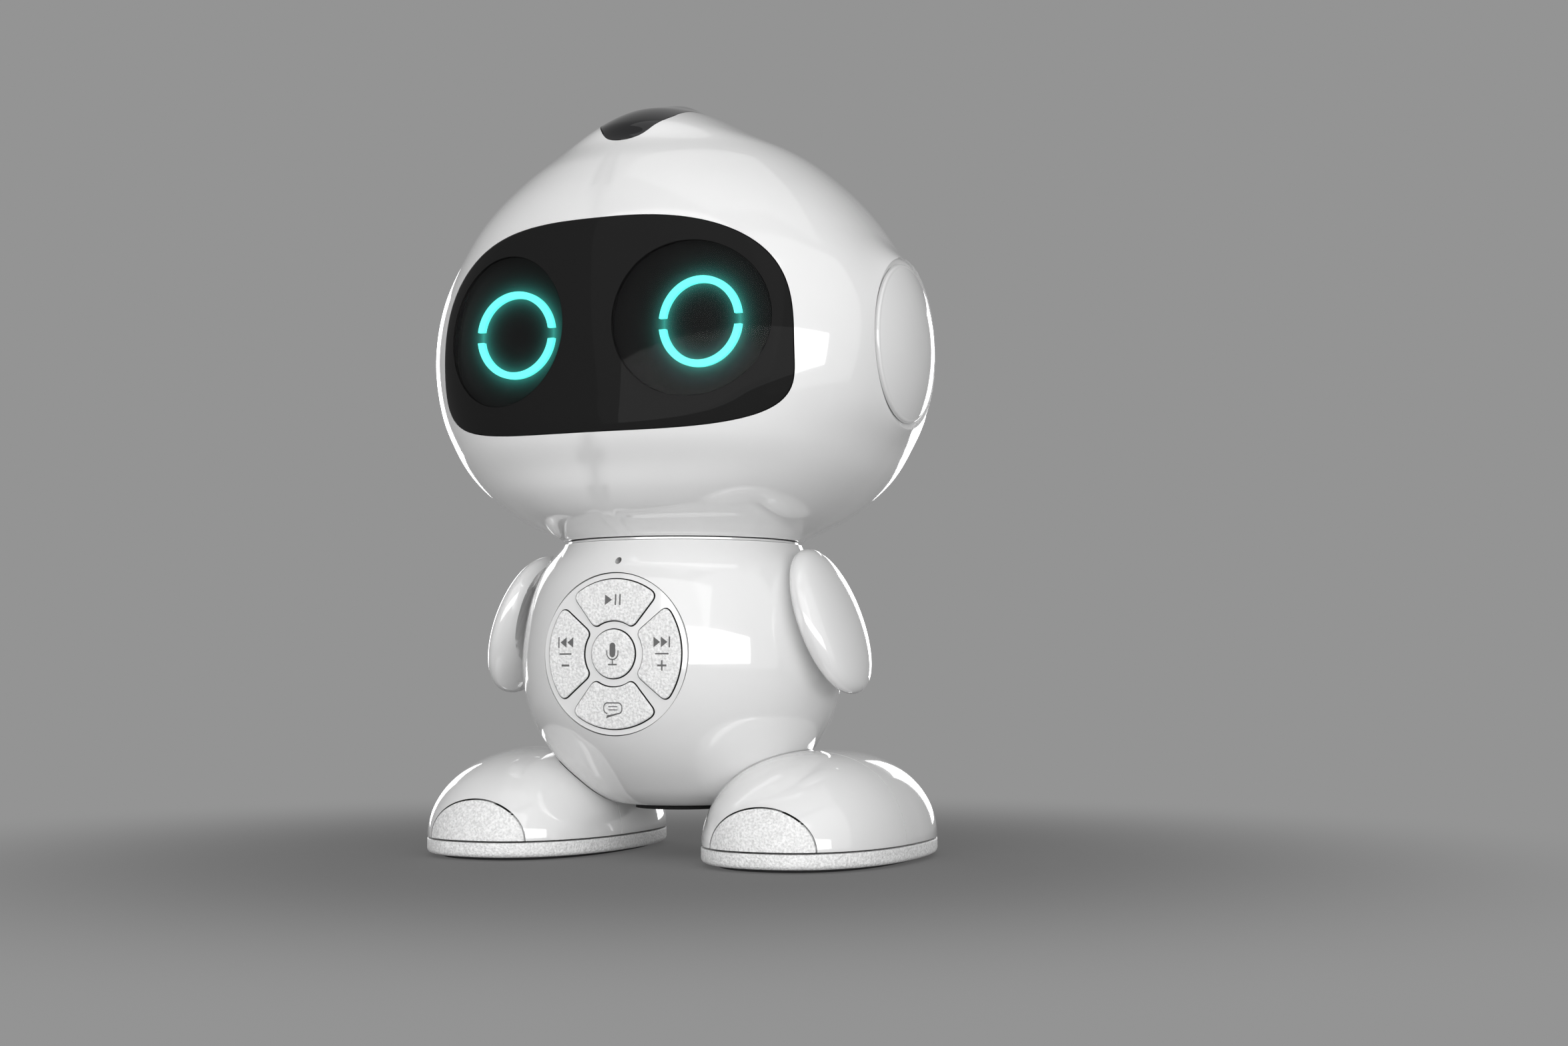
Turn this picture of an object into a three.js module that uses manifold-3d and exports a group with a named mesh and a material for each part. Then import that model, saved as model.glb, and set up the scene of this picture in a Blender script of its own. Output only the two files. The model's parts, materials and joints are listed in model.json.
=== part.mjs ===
// A small talking robot for children: an egg-shaped head with a dark face window and round
// ears, a round body with a five-button keypad, two swinging arms and two shoe-shaped feet.
//
// Units are millimetres and +Z is up. The robot looks along -Y and its left side is +X.
// Every solid is its own named mesh. Left-side pieces are made first and mirrored in X.

import * as THREE from "three";
import { mergeVertices } from "three/addons/utils/BufferGeometryUtils.js";
import Module from "manifold-3d";

const wasm = await Module();
wasm.setup();

// ---------------------------------------------------------------- driving dimensions

const GAP = 0.3; // clearance between neighbouring pieces
const WALL = 2.4; // moulded wall of the head and body
const REACH = 90; // half length of a cutting tool that goes right through

// Head: [height, half width, half depth] of the egg, from the neck to the crown.
const HEAD_LEVELS = [
  [102.6, 40, 40],
  [105.5, 45.8, 46],
  [110, 54.6, 53.5],
  [116, 62.7, 58.5],
  [123, 69.3, 61.5],
  [132, 74.5, 65.6],
  [144, 80.6, 66.4],
  [163, 84.1, 66.4],
  [182, 81.1, 65],
  [200, 70.9, 62.3],
  [212, 62.5, 57.7],
  [221, 53.8, 51.7],
  [229, 43.3, 43.2],
  [236, 29.2, 38.2],
  [242, 18.1, 28.6],
  [246, 10, 16.3],
  [249, 4.4, 6],
  [250, 1.7, 2],
];
const HEAD_MIDDLE = 163; // height of the widest section
const HEAD_SQUARENESS = 0.35; // extra superellipse exponent of the middle sections
const CROWN_SHIFT = -2.5; // the crown sits a little forward of the neck axis
const HEAD_PARTING = 30; // plane of the seam between the front shell and the rear cover

// Face window: a superellipse seen from the front, taller above its middle than below.
const WINDOW = { z: 157, halfWidth: 62.3, up: 43, down: 24.2, topPower: 3, bottomPower: 3.6 };
const LENS_WALL = 2;

// Eyes: broken rings of light on a flat mask behind the lens.
const EYE = { x: 32.6, y: -53.3, z: 166.7, radius: 14.05, stroke: 2.2, depth: 1.4, break: 3.4 };

// Crown touch window: a round-ended strip that runs front to back over the crown.
const CROWN = { halfWidth: 13, front: -45, rear: 20, wall: 2.2 };

// Ears: round domed caps on a flat facet at each side of the head.
const EAR = { z: 164.5, facetX: 78.3, ringRadius: 27.4, radius: 25.4, rim: 1.6, domeX: 85 };

// Body: [height, radius] of the turned egg below the neck.
const BODY_LEVELS = [
  [16.8, 18.5],
  [17.3, 22.5],
  [20.2, 28.6],
  [24, 33.7],
  [31.3, 41.2],
  [39, 46.8],
  [48.3, 51],
  [60.7, 53],
  [74.2, 52.2],
  [86, 49.5],
  [94, 45.6],
  [101.4, 39.8],
];
const BODY_PARTING = 26; // plane of the seam between the front shell and the rear cover

// Neck: a stepped collar that clamps the head onto the body.
const NECK = { hole: 30, bore: 25.5, flange: 38.4, foot: 94, top: 112, nut: 33.6 };

// Keypad: a round, nearly flat panel let into the front of the body.
const KEYPAD = { z: 65.4, radius: 25.2, face: -47.9, wall: 2.3, crownRadius: 300 };
const BUTTON = { inner: 10.4, outer: 23.3, halfAngle: 0.7, corner: 2.4, round: 7.6, proud: 0.8 };
const BUTTON_FLANGE = { lip: 1, wall: 1 };

// Arms: flat oval paddles that hang from a pivot in the side of the body.
const ARM = { x: 55.4, y: -5.2, z: 76, thick: 7.5, wide: 21, long: 24.5, tilt: 20 };
const ARM_PIVOT = { y: -5.2, z: 84, radius: 3 };
const ARM_SWING = { back: -25, forward: 60, steps: 9 }; // degrees that the arm must clear
const ARM_CLEARANCE = 1;

// Feet: each is a rounded shoe on a flat sole.
const FOOT = { x: 50.2, halfWidth: 32.4, halfLength: 51.7, power: 2.35, seam: 6.4, top: 34.8 };
const FOOT_PARTING = -9; // plane of the seam between the front and rear shoe shells
const FOOT_WALL = 2.2;
const SOLE = { foot: 1.1, round: 1.6 };
const TREAD = { inset: 2.4, top: 3.2 };
const TOE = { halfWidth: 17.8, top: 19.4 };
const ANKLE = { x: 29, screw: 1.5 };

// ---------------------------------------------------------------- colours

const PAINT = {
  gloss: { color: 0xf4f4f2, roughness: 0.08, metalness: 0 },
  matte: { color: 0xe9e9e7, roughness: 0.62, metalness: 0 },
  lens: { color: 0x0b0b0e, roughness: 0.04, metalness: 0 },
  glow: { color: 0x62fdea, roughness: 0.4, metalness: 0 },
  black: { color: 0x161618, roughness: 0.6, metalness: 0 },
  rubber: { color: 0x26262a, roughness: 0.8, metalness: 0 },
  board: { color: 0x14573a, roughness: 0.5, metalness: 0 },
  steel: { color: 0xb9bcc0, roughness: 0.3, metalness: 1 },
  silicone: { color: 0xd8d8d4, roughness: 0.7, metalness: 0 },
  cell: { color: 0x2f6fb0, roughness: 0.35, metalness: 0 },
};

// ---------------------------------------------------------------- solids

const toRadians = THREE.MathUtils.degToRad;
const smoothstep = THREE.MathUtils.smoothstep;

function toSolid(geometry) {
  const bare = geometry.clone();
  bare.deleteAttribute("normal");
  bare.deleteAttribute("uv");
  const welded = mergeVertices(bare, 1e-4);
  return new wasm.Manifold(
    new wasm.Mesh({
      numProp: 3,
      vertProperties: new Float32Array(welded.attributes.position.array),
      triVerts: new Uint32Array(welded.index.array),
    })
  );
}

function toGeometry(solid) {
  const mesh = solid.getMesh();
  const geometry = new THREE.BufferGeometry();
  geometry.setAttribute("position", new THREE.BufferAttribute(mesh.vertProperties, 3));
  geometry.setIndex(new THREE.BufferAttribute(mesh.triVerts, 1));
  geometry.computeVertexNormals();
  return geometry;
}

// A closed skin over rings of points that all have the same count, lowest ring first.
function loft(rings) {
  const count = rings[0].length;
  const points = rings.flat();
  const faces = [];
  for (let level = 0; level + 1 < rings.length; level++) {
    for (let k = 0; k < count; k++) {
      const a = level * count + k;
      const b = level * count + ((k + 1) % count);
      faces.push(a, b, b + count, a, b + count, a + count);
    }
  }
  const ends = [
    [rings[0], 0, false],
    [rings[rings.length - 1], (rings.length - 1) * count, true],
  ];
  for (const [ring, start, upward] of ends) {
    const middle = new THREE.Vector3();
    ring.forEach((point) => middle.addScaledVector(point, 1 / count));
    points.push(middle);
    for (let k = 0; k < count; k++) {
      const next = start + ((k + 1) % count);
      if (upward) faces.push(start + k, next, points.length - 1);
      else faces.push(next, start + k, points.length - 1);
    }
  }
  const geometry = new THREE.BufferGeometry().setFromPoints(points);
  geometry.setIndex(faces);
  return toSolid(geometry);
}

// One level ring: a superellipse in a horizontal plane.
function ringAt(z, halfWidth, halfDepth, power, count, cx = 0, cy = 0) {
  const signedPower = (v) => Math.sign(v) * Math.abs(v) ** (2 / power);
  return Array.from({ length: count }, (_, k) => {
    const angle = (2 * Math.PI * k) / count;
    const x = cx + halfWidth * signedPower(Math.cos(angle));
    const y = cy + halfDepth * signedPower(Math.sin(angle));
    return new THREE.Vector3(x, y, z);
  });
}

// A turned solid on a vertical axis, from [height, radius] pairs.
function turned(levels, count, cx = 0, cy = 0) {
  return loft(levels.map(([z, radius]) => ringAt(z, radius, radius, 2, count, cx, cy)));
}

function rodZ(radius, z0, z1, cx = 0, cy = 0, count = 32) {
  const levels = [
    [z0, radius],
    [z1, radius],
  ];
  return turned(levels, count, cx, cy);
}

// The same upright solid laid along X or along Y.
function rodX(radius, x0, x1, y, z, count = 32) {
  return rodZ(radius, x0, x1, 0, 0, count).rotate([0, 90, 0]).translate([0, y, z]);
}

function rodY(radius, y0, y1, x, z, count = 32) {
  return rodZ(radius, y0, y1, 0, 0, count).rotate([-90, 0, 0]).translate([x, 0, z]);
}

function box(x0, x1, y0, y1, z0, z1) {
  const geometry = new THREE.BoxGeometry(x1 - x0, y1 - y0, z1 - z0);
  geometry.translate((x0 + x1) / 2, (y0 + y1) / 2, (z0 + z1) / 2);
  return toSolid(geometry);
}

// A shape drawn in the front view (x to the right, y up) and carried from y0 to y1.
function prismY(shape, y0, y1, x = 0, z = 0, segments = 8) {
  const options = { depth: y1 - y0, bevelEnabled: false, curveSegments: segments };
  const geometry = new THREE.ExtrudeGeometry(shape, options);
  geometry.rotateX(Math.PI / 2);
  geometry.translate(x, y1, z);
  return toSolid(geometry);
}

function closedShape(points) {
  const shape = new THREE.Shape();
  shape.setFromPoints(points);
  return shape;
}

function smoothLevels(levels, count) {
  const points = levels.map(([z, a, b]) => new THREE.Vector3(a, b ?? a, z));
  const curve = new THREE.CatmullRomCurve3(points, false, "centripetal");
  return curve.getSpacedPoints(count).map((point) => [point.z, point.x, point.y]);
}

function scaledAbout(solid, factors, centre) {
  const back = centre.map((value) => -value);
  return solid.translate(back).scale(factors).translate(centre);
}

function joined(solids) {
  return solids.reduce((sum, solid) => sum.add(solid));
}

// ---------------------------------------------------------------- head

const headMidLevel = [0, 0, HEAD_MIDDLE];

function headOutline(count, levelCount) {
  const rings = smoothLevels(HEAD_LEVELS, levelCount).map(([z, halfWidth, halfDepth]) => {
    const rise = smoothstep(z, 102, 132) * (1 - smoothstep(z, 200, 232));
    const power = 2 + HEAD_SQUARENESS * rise;
    const shift = CROWN_SHIFT * smoothstep(z, 215, 240);
    return ringAt(z, halfWidth, halfDepth, power, count, 0, shift);
  });
  return loft(rings);
}

function insetHead(solid, inset) {
  const [, halfWidth, halfDepth] = HEAD_LEVELS.find(([z]) => z === HEAD_MIDDLE);
  const halfHeight = (HEAD_LEVELS[HEAD_LEVELS.length - 1][0] - HEAD_LEVELS[0][0]) / 2;
  const factors = [1 - inset / halfWidth, 1 - inset / halfDepth, 1 - inset / halfHeight];
  return scaledAbout(solid, factors, headMidLevel);
}

function windowShape(grow) {
  const count = 28;
  const points = Array.from({ length: count }, (_, k) => {
    const angle = (2 * Math.PI * k) / count;
    const upper = Math.sin(angle) >= 0;
    const power = 2 / (upper ? WINDOW.topPower : WINDOW.bottomPower);
    const height = (upper ? WINDOW.up : WINDOW.down) + grow;
    const across = Math.sign(Math.cos(angle)) * Math.abs(Math.cos(angle)) ** power;
    const along = Math.sign(Math.sin(angle)) * Math.abs(Math.sin(angle)) ** power;
    return new THREE.Vector2((WINDOW.halfWidth + grow) * across, height * along);
  });
  return closedShape(points);
}

function crownTool(grow) {
  const { halfWidth, front, rear } = CROWN;
  const radius = halfWidth + grow;
  const ends = [front + halfWidth, rear - halfWidth];
  const caps = ends.map((y) => rodZ(radius, 205, 260, 0, y, 28));
  return joined([...caps, box(-radius, radius, ...ends, 205, 260)]);
}

const headSkin = headOutline(36, 13);
const headHollow = insetHead(headOutline(20, 8), WALL);
const windowTool = prismY(windowShape(0), -REACH, -20, 0, WINDOW.z);
const windowToolTight = prismY(windowShape(-GAP), -REACH, -20, 0, WINDOW.z);
const earFacets = joined(
  [-1, 1].map((side) => {
    const near = side * EAR.facetX;
    return rodX(EAR.ringRadius, Math.min(near, side * 100), Math.max(near, side * 100), 0, EAR.z, 28);
  })
);
const earHoles = rodX(12, -REACH, REACH, 0, EAR.z, 24);
const headWhole = headSkin
  .subtract(headHollow)
  .subtract(earFacets)
  .subtract(rodZ(NECK.hole, 95, 112));

const headFront = headWhole
  .subtract(box(-REACH, REACH, HEAD_PARTING, REACH, 90, 260))
  .subtract(windowTool)
  .subtract(crownTool(0))
  .subtract(earHoles);
const headRear = headWhole.intersect(
  box(-REACH, REACH, HEAD_PARTING + GAP, REACH, 90, 260)
);

const lensInner = insetHead(headOutline(24, 10), LENS_WALL);
const faceLens = headSkin.intersect(windowToolTight).subtract(lensInner);

const crownLens = headSkin.intersect(crownTool(-GAP)).subtract(insetHead(headSkin, CROWN.wall));

function eyeArc(side, upper) {
  const { x, y, z, radius, stroke, depth } = EYE;
  const lift = EYE.break / 2;
  const ring = rodY(radius, y - depth / 2, y + depth / 2, side * x, z, 24).subtract(
    rodY(radius - stroke, y - 5, y + 5, side * x, z, 24)
  );
  const half = upper ? [z + lift, z + 40] : [z - 40, z - lift];
  return ring.intersect(box(side * x - 30, side * x + 30, y - 5, y + 5, ...half));
}

function roundedRectangle(halfWidth, halfHeight, corner) {
  const shape = new THREE.Shape();
  shape.absarc(halfWidth - corner, halfHeight - corner, corner, 0, Math.PI / 2);
  shape.absarc(corner - halfWidth, halfHeight - corner, corner, Math.PI / 2, Math.PI);
  shape.absarc(corner - halfWidth, corner - halfHeight, corner, Math.PI, 1.5 * Math.PI);
  shape.absarc(halfWidth - corner, corner - halfHeight, corner, 1.5 * Math.PI, 2 * Math.PI);
  return shape;
}

const maskBack = EYE.y + EYE.depth / 2 + GAP;
const eyeMask = prismY(windowShape(-3), maskBack, maskBack + 1.5, 0, WINDOW.z).intersect(
  insetHead(headOutline(24, 10), LENS_WALL + 0.6)
);
const ledBoardFace = maskBack + 1.5 + GAP;
const eyeBoard = prismY(roundedRectangle(48, 17, 3), ledBoardFace, ledBoardFace + 1.6, 0, EYE.z);
const touchBoard = box(-9, 9, -30, 10, 233.6, 235.2).intersect(insetHead(headSkin, 3));

function earCap() {
  const { facetX, radius, rim, domeX, z } = EAR;
  const rise = domeX - facetX - GAP;
  const dome = [1, 0.97, 0.8, 0.55, 0.28, 0.03].map((part) => {
    return [rim + (rise - rim) * (1 - part ** 2.2), radius * part];
  });
  const shell = turned([[0, radius], ...dome], 24).subtract(
    scaledAbout(turned([[-4, radius], ...dome], 12), [0.91, 0.91, 0.78], [0, 0, 0])
  );
  const stem = rodZ(11.6, -6, rise * 0.85, 0, 0, 20).subtract(rodZ(8.5, -8, rise * 0.6, 0, 0, 16));
  return shell.add(stem).rotate([0, 90, 0]).translate([facetX + GAP, 0, z]);
}

// ---------------------------------------------------------------- neck

const [bodyTop] = BODY_LEVELS[BODY_LEVELS.length - 1];
const headFoot = HEAD_LEVELS[0][0];
const neckCollar = rodZ(NECK.hole - GAP, NECK.foot, NECK.top)
  .add(rodZ(NECK.flange, bodyTop + 0.2, headFoot - 0.2, 0, 0, 40))
  .subtract(rodZ(NECK.bore, 80, 120));
const neckNut = rodZ(NECK.nut, headFoot + WALL + GAP, headFoot + WALL + 4.3).subtract(
  rodZ(NECK.hole, 90, 130)
);
const neckRetainer = rodZ(NECK.nut, bodyTop - WALL - 4.3, bodyTop - WALL - GAP).subtract(
  rodZ(NECK.hole, 90, 130)
);

// ---------------------------------------------------------------- body

function bodyOutline(grow, count, levelCount) {
  const grown = smoothLevels(BODY_LEVELS, levelCount).map(([z, radius]) => [z, radius + grow]);
  return turned(grown, count);
}

const bodySkin = bodyOutline(0, 36, 9);
const bodyHollow = scaledAbout(bodyOutline(0, 20, 6), [0.955, 0.955, 0.943], [0, 0, 59]);
const keypadSeat = rodY(KEYPAD.radius + GAP, -REACH, -30, 0, KEYPAD.z, 32);
const grilleSlots = joined(
  [-9, -4.5, 0, 4.5, 9].map((x) => box(x - 1, x + 1, -11, 11, 10, 25))
);
const armHoles = rodX(ARM_PIVOT.radius + GAP, -REACH, REACH, ARM_PIVOT.y, ARM_PIVOT.z, 16);
const ankleHoles = joined(
  [-1, 1].map((side) => rodZ(ANKLE.screw + GAP, 10, 40, side * ANKLE.x, 0, 12))
);
const microphoneHole = rodY(1.1, -REACH, -30, 0, 94.6, 12);
const bodyWhole = bodySkin
  .subtract(bodyHollow)
  .subtract(rodZ(NECK.hole, 90, 120))
  .subtract(armHoles)
  .subtract(ankleHoles);

const switchOpening = box(-6, 6, 30, REACH, 34, 39);
const socketOpening = box(-5, 5, 30, REACH, 44.5, 49);
const bodyFront = bodyWhole
  .subtract(box(-REACH, REACH, BODY_PARTING, REACH, 0, 120))
  .subtract(keypadSeat)
  .subtract(grilleSlots)
  .subtract(microphoneHole);
const bodyRear = bodyWhole
  .intersect(box(-REACH, REACH, BODY_PARTING + GAP, REACH, 0, 120))
  .subtract(switchOpening)
  .subtract(socketOpening);

// ---------------------------------------------------------------- keypad

// The keypad face bulges slightly: part of a very large ball behind the panel.
function keypadBall(lift) {
  const { face, crownRadius, z } = KEYPAD;
  const reach = 32;
  const steps = 2;
  const rings = Array.from({ length: steps + 1 }, (_, k) => {
    const radius = (reach * (steps - k)) / steps + 0.5;
    const sag = crownRadius - Math.sqrt(crownRadius ** 2 - radius ** 2);
    return [-(face - lift + sag), radius];
  });
  return turned([[20, reach + 0.5], ...rings], 12)
    .rotate([90, 0, 0])
    .translate([0, 0, z]);
}

function sectorShape(grow) {
  const inner = BUTTON.inner - grow;
  const outer = BUTTON.outer + grow;
  const corner = BUTTON.corner;
  const half = BUTTON.halfAngle;
  const at = (radius, angle) => [radius * Math.sin(angle), radius * Math.cos(angle)];
  const spread = (radius) => half + grow / radius - 0.02;
  const shape = new THREE.Shape();
  shape.moveTo(...at(inner + corner, -spread(inner + corner)));
  shape.lineTo(...at(outer - corner, -spread(outer - corner)));
  const outerSoft = spread(outer) - corner / outer;
  const innerSoft = spread(inner) - (0.8 * corner) / inner;
  shape.quadraticCurveTo(...at(outer, -spread(outer)), ...at(outer, -outerSoft));
  shape.absarc(0, 0, outer, Math.PI / 2 + outerSoft, Math.PI / 2 - outerSoft, true);
  shape.quadraticCurveTo(...at(outer, spread(outer)), ...at(outer - corner, spread(outer - corner)));
  shape.lineTo(...at(inner + corner, spread(inner + corner)));
  shape.quadraticCurveTo(...at(inner, spread(inner)), ...at(inner, innerSoft));
  shape.absarc(0, 0, inner, Math.PI / 2 - innerSoft, Math.PI / 2 + innerSoft, false);
  shape.quadraticCurveTo(
    ...at(inner, -spread(inner)),
    ...at(inner + corner, -spread(inner + corner))
  );
  return shape;
}

function buttonPrism(turn, grow, y0, y1) {
  const prism =
    turn === null
      ? rodY(BUTTON.round + grow, y0, y1, 0, 0, 16)
      : prismY(sectorShape(grow), y0, y1, 0, 0, 3).rotate([0, turn, 0]);
  return prism.translate([0, 0, KEYPAD.z]);
}

const BUTTONS = {
  play_pause_button: 0,
  next_button: 90,
  chat_button: 180,
  previous_button: 270,
  talk_button: null,
};
const bezelBack = KEYPAD.face + KEYPAD.wall;
const buttonHoles = joined(
  Object.values(BUTTONS).map((turn) => buttonPrism(turn, 0.35, -REACH, 0))
);
const keypadBezel = rodY(KEYPAD.radius, -60, bezelBack, 0, KEYPAD.z, 32)
  .intersect(keypadBall(0))
  .subtract(buttonHoles);

function keypadButton(turn) {
  const flangeFront = bezelBack + GAP;
  const flangeBack = flangeFront + BUTTON_FLANGE.wall;
  const stem = buttonPrism(turn, 0, -60, flangeBack).intersect(keypadBall(BUTTON.proud));
  const flange = buttonPrism(turn, BUTTON_FLANGE.lip, flangeFront, flangeBack);
  return stem.add(flange);
}

const membraneFront = bezelBack + GAP + BUTTON_FLANGE.wall + 1.3;
const membrane = rodY(24, membraneFront, membraneFront + 1.2, 0, KEYPAD.z, 28);
const keypadBoardFront = membraneFront + 1.2 + 0.2;
const keypadBoard = rodY(24, keypadBoardFront, keypadBoardFront + 1.6, 0, KEYPAD.z, 28);
const microphone = rodY(3, -38.6, -34.2, 0, 94.6, 16).subtract(rodY(1, -50, -35.4, 0, 94.6, 8));

// ---------------------------------------------------------------- inside the body

const batteryAxis = { y: 16, z: 74 };
const battery = rodX(9.1, -32.5, 32.5, batteryAxis.y, batteryAxis.z, 32).add(
  rodX(3, 30, 33.6, batteryAxis.y, batteryAxis.z, 20)
);
const batteryTray = box(-35.5, 35.5, 5.3, 26, 62.5, 71)
  .subtract(rodX(9.4, -34, 34, batteryAxis.y, batteryAxis.z, 32))
  .subtract(box(-34, 34, batteryAxis.y - 9.4, batteryAxis.y + 9.4, 73, 90));
const mainBoard = box(-30, 30, -8, -6.4, 44, 92).add(box(-9, 9, -6.4, -4.4, 66, 82));
const speakerBasket = turned(
  [
    [20.6, 20],
    [22.6, 20],
    [27, 15],
    [34, 13],
    [38, 13],
  ],
  20
).subtract(
  turned(
    [
      [19, 17.5],
      [22, 17],
      [26, 10],
      [30, 4],
    ],
    20
  )
);
const speakerCone = turned(
  [
    [20.2, 17],
    [21, 17],
    [25.8, 9.4],
    [29.4, 3.6],
  ],
  16
).subtract(
  turned(
    [
      [19, 16.4],
      [20.3, 15.8],
      [24.6, 8.6],
      [27.6, 3],
    ],
    16
  )
);
const baseGrille = rodZ(15.5, 15.4, 16.5).subtract(grilleSlots);
const switchBody = box(-7, 7, 33, 37, 32.5, 40.5);
const switchKnob = box(-4.6, -0.2, 37.4, 45, 34.8, 38.2);
const chargeSocket = box(-4.5, 4.5, 40, 47, 45, 48.5).subtract(box(-3.6, 3.6, 42, 60, 45.8, 47.7));

// ---------------------------------------------------------------- arms

function armPaddle() {
  const { x, y, z, thick, wide, long, tilt } = ARM;
  const steps = 8;
  const rings = Array.from({ length: steps + 1 }, (_, k) => {
    const angle = Math.PI * (0.02 + (0.96 * k) / steps) - Math.PI / 2;
    const swell = Math.cos(angle) ** 0.9;
    return ringAt(long * Math.sin(angle), thick * swell, wide * swell, 2, 18);
  });
  return loft(rings).rotate([0, -tilt, 0]).translate([x, y, z]);
}

// The body as the arm sees it while swinging about its pivot, from one end to the other.
function sweptBody() {
  const { back, forward, steps } = ARM_SWING;
  const core = bodyOutline(ARM_CLEARANCE, 28, 9);
  const turns = Array.from({ length: steps + 1 }, (_, k) =>
    core
      .translate([0, -ARM_PIVOT.y, -ARM_PIVOT.z])
      .rotate([back + ((forward - back) * k) / steps, 0, 0])
      .translate([0, ARM_PIVOT.y, ARM_PIVOT.z])
  );
  return joined(turns);
}

const leftArm = armPaddle()
  .subtract(sweptBody())
  .subtract(rodX(ARM_PIVOT.radius + GAP, 30, 57, ARM_PIVOT.y, ARM_PIVOT.z, 16));
const leftPivot = rodX(ARM_PIVOT.radius, 40, 56.5, ARM_PIVOT.y, ARM_PIVOT.z, 16).add(
  rodX(6, 40, 42.2, ARM_PIVOT.y, ARM_PIVOT.z, 16)
);

// ---------------------------------------------------------------- feet

function footRing(z, inset, count) {
  const halfWidth = FOOT.halfWidth - inset;
  const halfLength = FOOT.halfLength - inset;
  return ringAt(z, halfWidth, halfLength, FOOT.power, count, FOOT.x, 0);
}

function footDome(inset, count, steps) {
  const height = FOOT.top - FOOT.seam - inset;
  const rings = Array.from({ length: steps + 1 }, (_, k) => {
    const angle = (0.5 * Math.PI * 0.97 * k) / steps;
    const shrink = Math.cos(angle) ** 0.84;
    const z = FOOT.seam + height * Math.sin(angle) ** 1.02;
    const halfWidth = (FOOT.halfWidth - inset) * shrink;
    const halfLength = (FOOT.halfLength - inset) * shrink;
    return ringAt(z, halfWidth, halfLength, FOOT.power, count, FOOT.x, 0);
  });
  return loft(rings);
}

function toeShape(grow) {
  const shape = new THREE.Shape();
  shape.absellipse(0, 0, TOE.halfWidth + grow, TOE.top - FOOT.seam + grow, 0, 2 * Math.PI);
  return shape;
}

const ankleTool = bodyOutline(GAP, 36, 9);
const domeSkin = footDome(0, 28, 5);
const domeHollow = footDome(FOOT_WALL, 16, 4).add(
  loft([footRing(FOOT.seam - 3, FOOT_WALL, 16), footRing(FOOT.seam + 0.1, FOOT_WALL, 16)])
);
const toeTool = prismY(toeShape(0), -REACH, -20, FOOT.x, FOOT.seam, 14);
const footShell = domeSkin.subtract(domeHollow).subtract(ankleTool).subtract(toeTool);
const footFront = footShell.subtract(box(0, REACH, FOOT_PARTING, REACH, 0, 60));
const footRear = footShell.intersect(box(0, REACH, FOOT_PARTING + GAP, REACH, 0, 60));
const toeCap = domeSkin
  .intersect(prismY(toeShape(-GAP), -REACH, -20, FOOT.x, FOOT.seam, 14))
  .subtract(footDome(FOOT_WALL, 16, 4));

const soleTop = FOOT.seam - GAP;
const sole = loft([
  footRing(SOLE.foot, SOLE.round, 28),
  footRing(SOLE.foot + 0.5, 0.6, 28),
  footRing(SOLE.foot + SOLE.round, 0, 28),
  footRing(soleTop - 0.4, 0, 28),
  footRing(soleTop, 0.4, 28),
]).subtract(loft([footRing(0, TREAD.inset + 2, 16), footRing(9, TREAD.inset + 2, 16)]));
const tread = loft([
  footRing(0, TREAD.inset + 2.8, 16),
  footRing(0.4, TREAD.inset + 2.3, 16),
  footRing(TREAD.top, TREAD.inset + 2.3, 16),
]);
const ballastFloor = TREAD.top + GAP;
const ballast = box(33, 68, -33, -10, ballastFloor, ballastFloor + 5.6)
  .add(box(31, 68, -10.1, 30, ballastFloor, ballastFloor + 5.6))
  .add(rodZ(4.5, ballastFloor + 1, 30, ANKLE.x, 0, 16))
  .subtract(ankleTool)
  .subtract(rodZ(ANKLE.screw + GAP, 8, 40, ANKLE.x, 0, 12));
const ankleScrew = rodZ(ANKLE.screw, 10, 26.4, ANKLE.x, 0, 12).add(
  rodZ(3, 26.4, 28.4, ANKLE.x, 0, 12)
);

// ---------------------------------------------------------------- assembly

const robot = new THREE.Group();
robot.name = "talking_robot";

function addPart(name, solid, paint) {
  const material = new THREE.MeshStandardMaterial(PAINT[paint]);
  material.name = paint;
  const mesh = new THREE.Mesh(toGeometry(solid), material);
  mesh.name = name;
  robot.add(mesh);
}

function addPair(name, leftSolid, paint) {
  addPart(`${name}_left`, leftSolid, paint);
  addPart(`${name}_right`, leftSolid.mirror([1, 0, 0]), paint);
}

addPart("head_front_shell", headFront, "gloss");
addPart("head_rear_cover", headRear, "gloss");
addPart("face_lens", faceLens, "lens");
addPart("crown_touch_window", crownLens, "lens");
addPart("eye_mask", eyeMask, "black");
addPart("eye_led_board", eyeBoard, "board");
addPart("touch_sensor_board", touchBoard, "board");
for (const [label, side] of Object.entries({ left: 1, right: -1 })) {
  addPart(`eye_upper_arc_${label}`, eyeArc(side, true), "glow");
  addPart(`eye_lower_arc_${label}`, eyeArc(side, false), "glow");
}
addPair("ear_cap", earCap(), "gloss");
addPart("neck_collar", neckCollar, "gloss");
addPart("neck_nut", neckNut, "black");
addPart("neck_retainer", neckRetainer, "black");
addPart("body_front_shell", bodyFront, "gloss");
addPart("body_rear_cover", bodyRear, "gloss");
addPart("keypad_bezel", keypadBezel, "gloss");
for (const [name, turn] of Object.entries(BUTTONS)) addPart(name, keypadButton(turn), "matte");
addPart("keypad_membrane", membrane, "silicone");
addPart("keypad_board", keypadBoard, "board");
addPart("microphone", microphone, "steel");
addPart("main_board", mainBoard, "board");
addPart("battery_cell", battery, "cell");
addPart("battery_tray", batteryTray, "black");
addPart("speaker_basket", speakerBasket, "steel");
addPart("speaker_cone", speakerCone, "black");
addPart("base_grille", baseGrille, "black");
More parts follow.
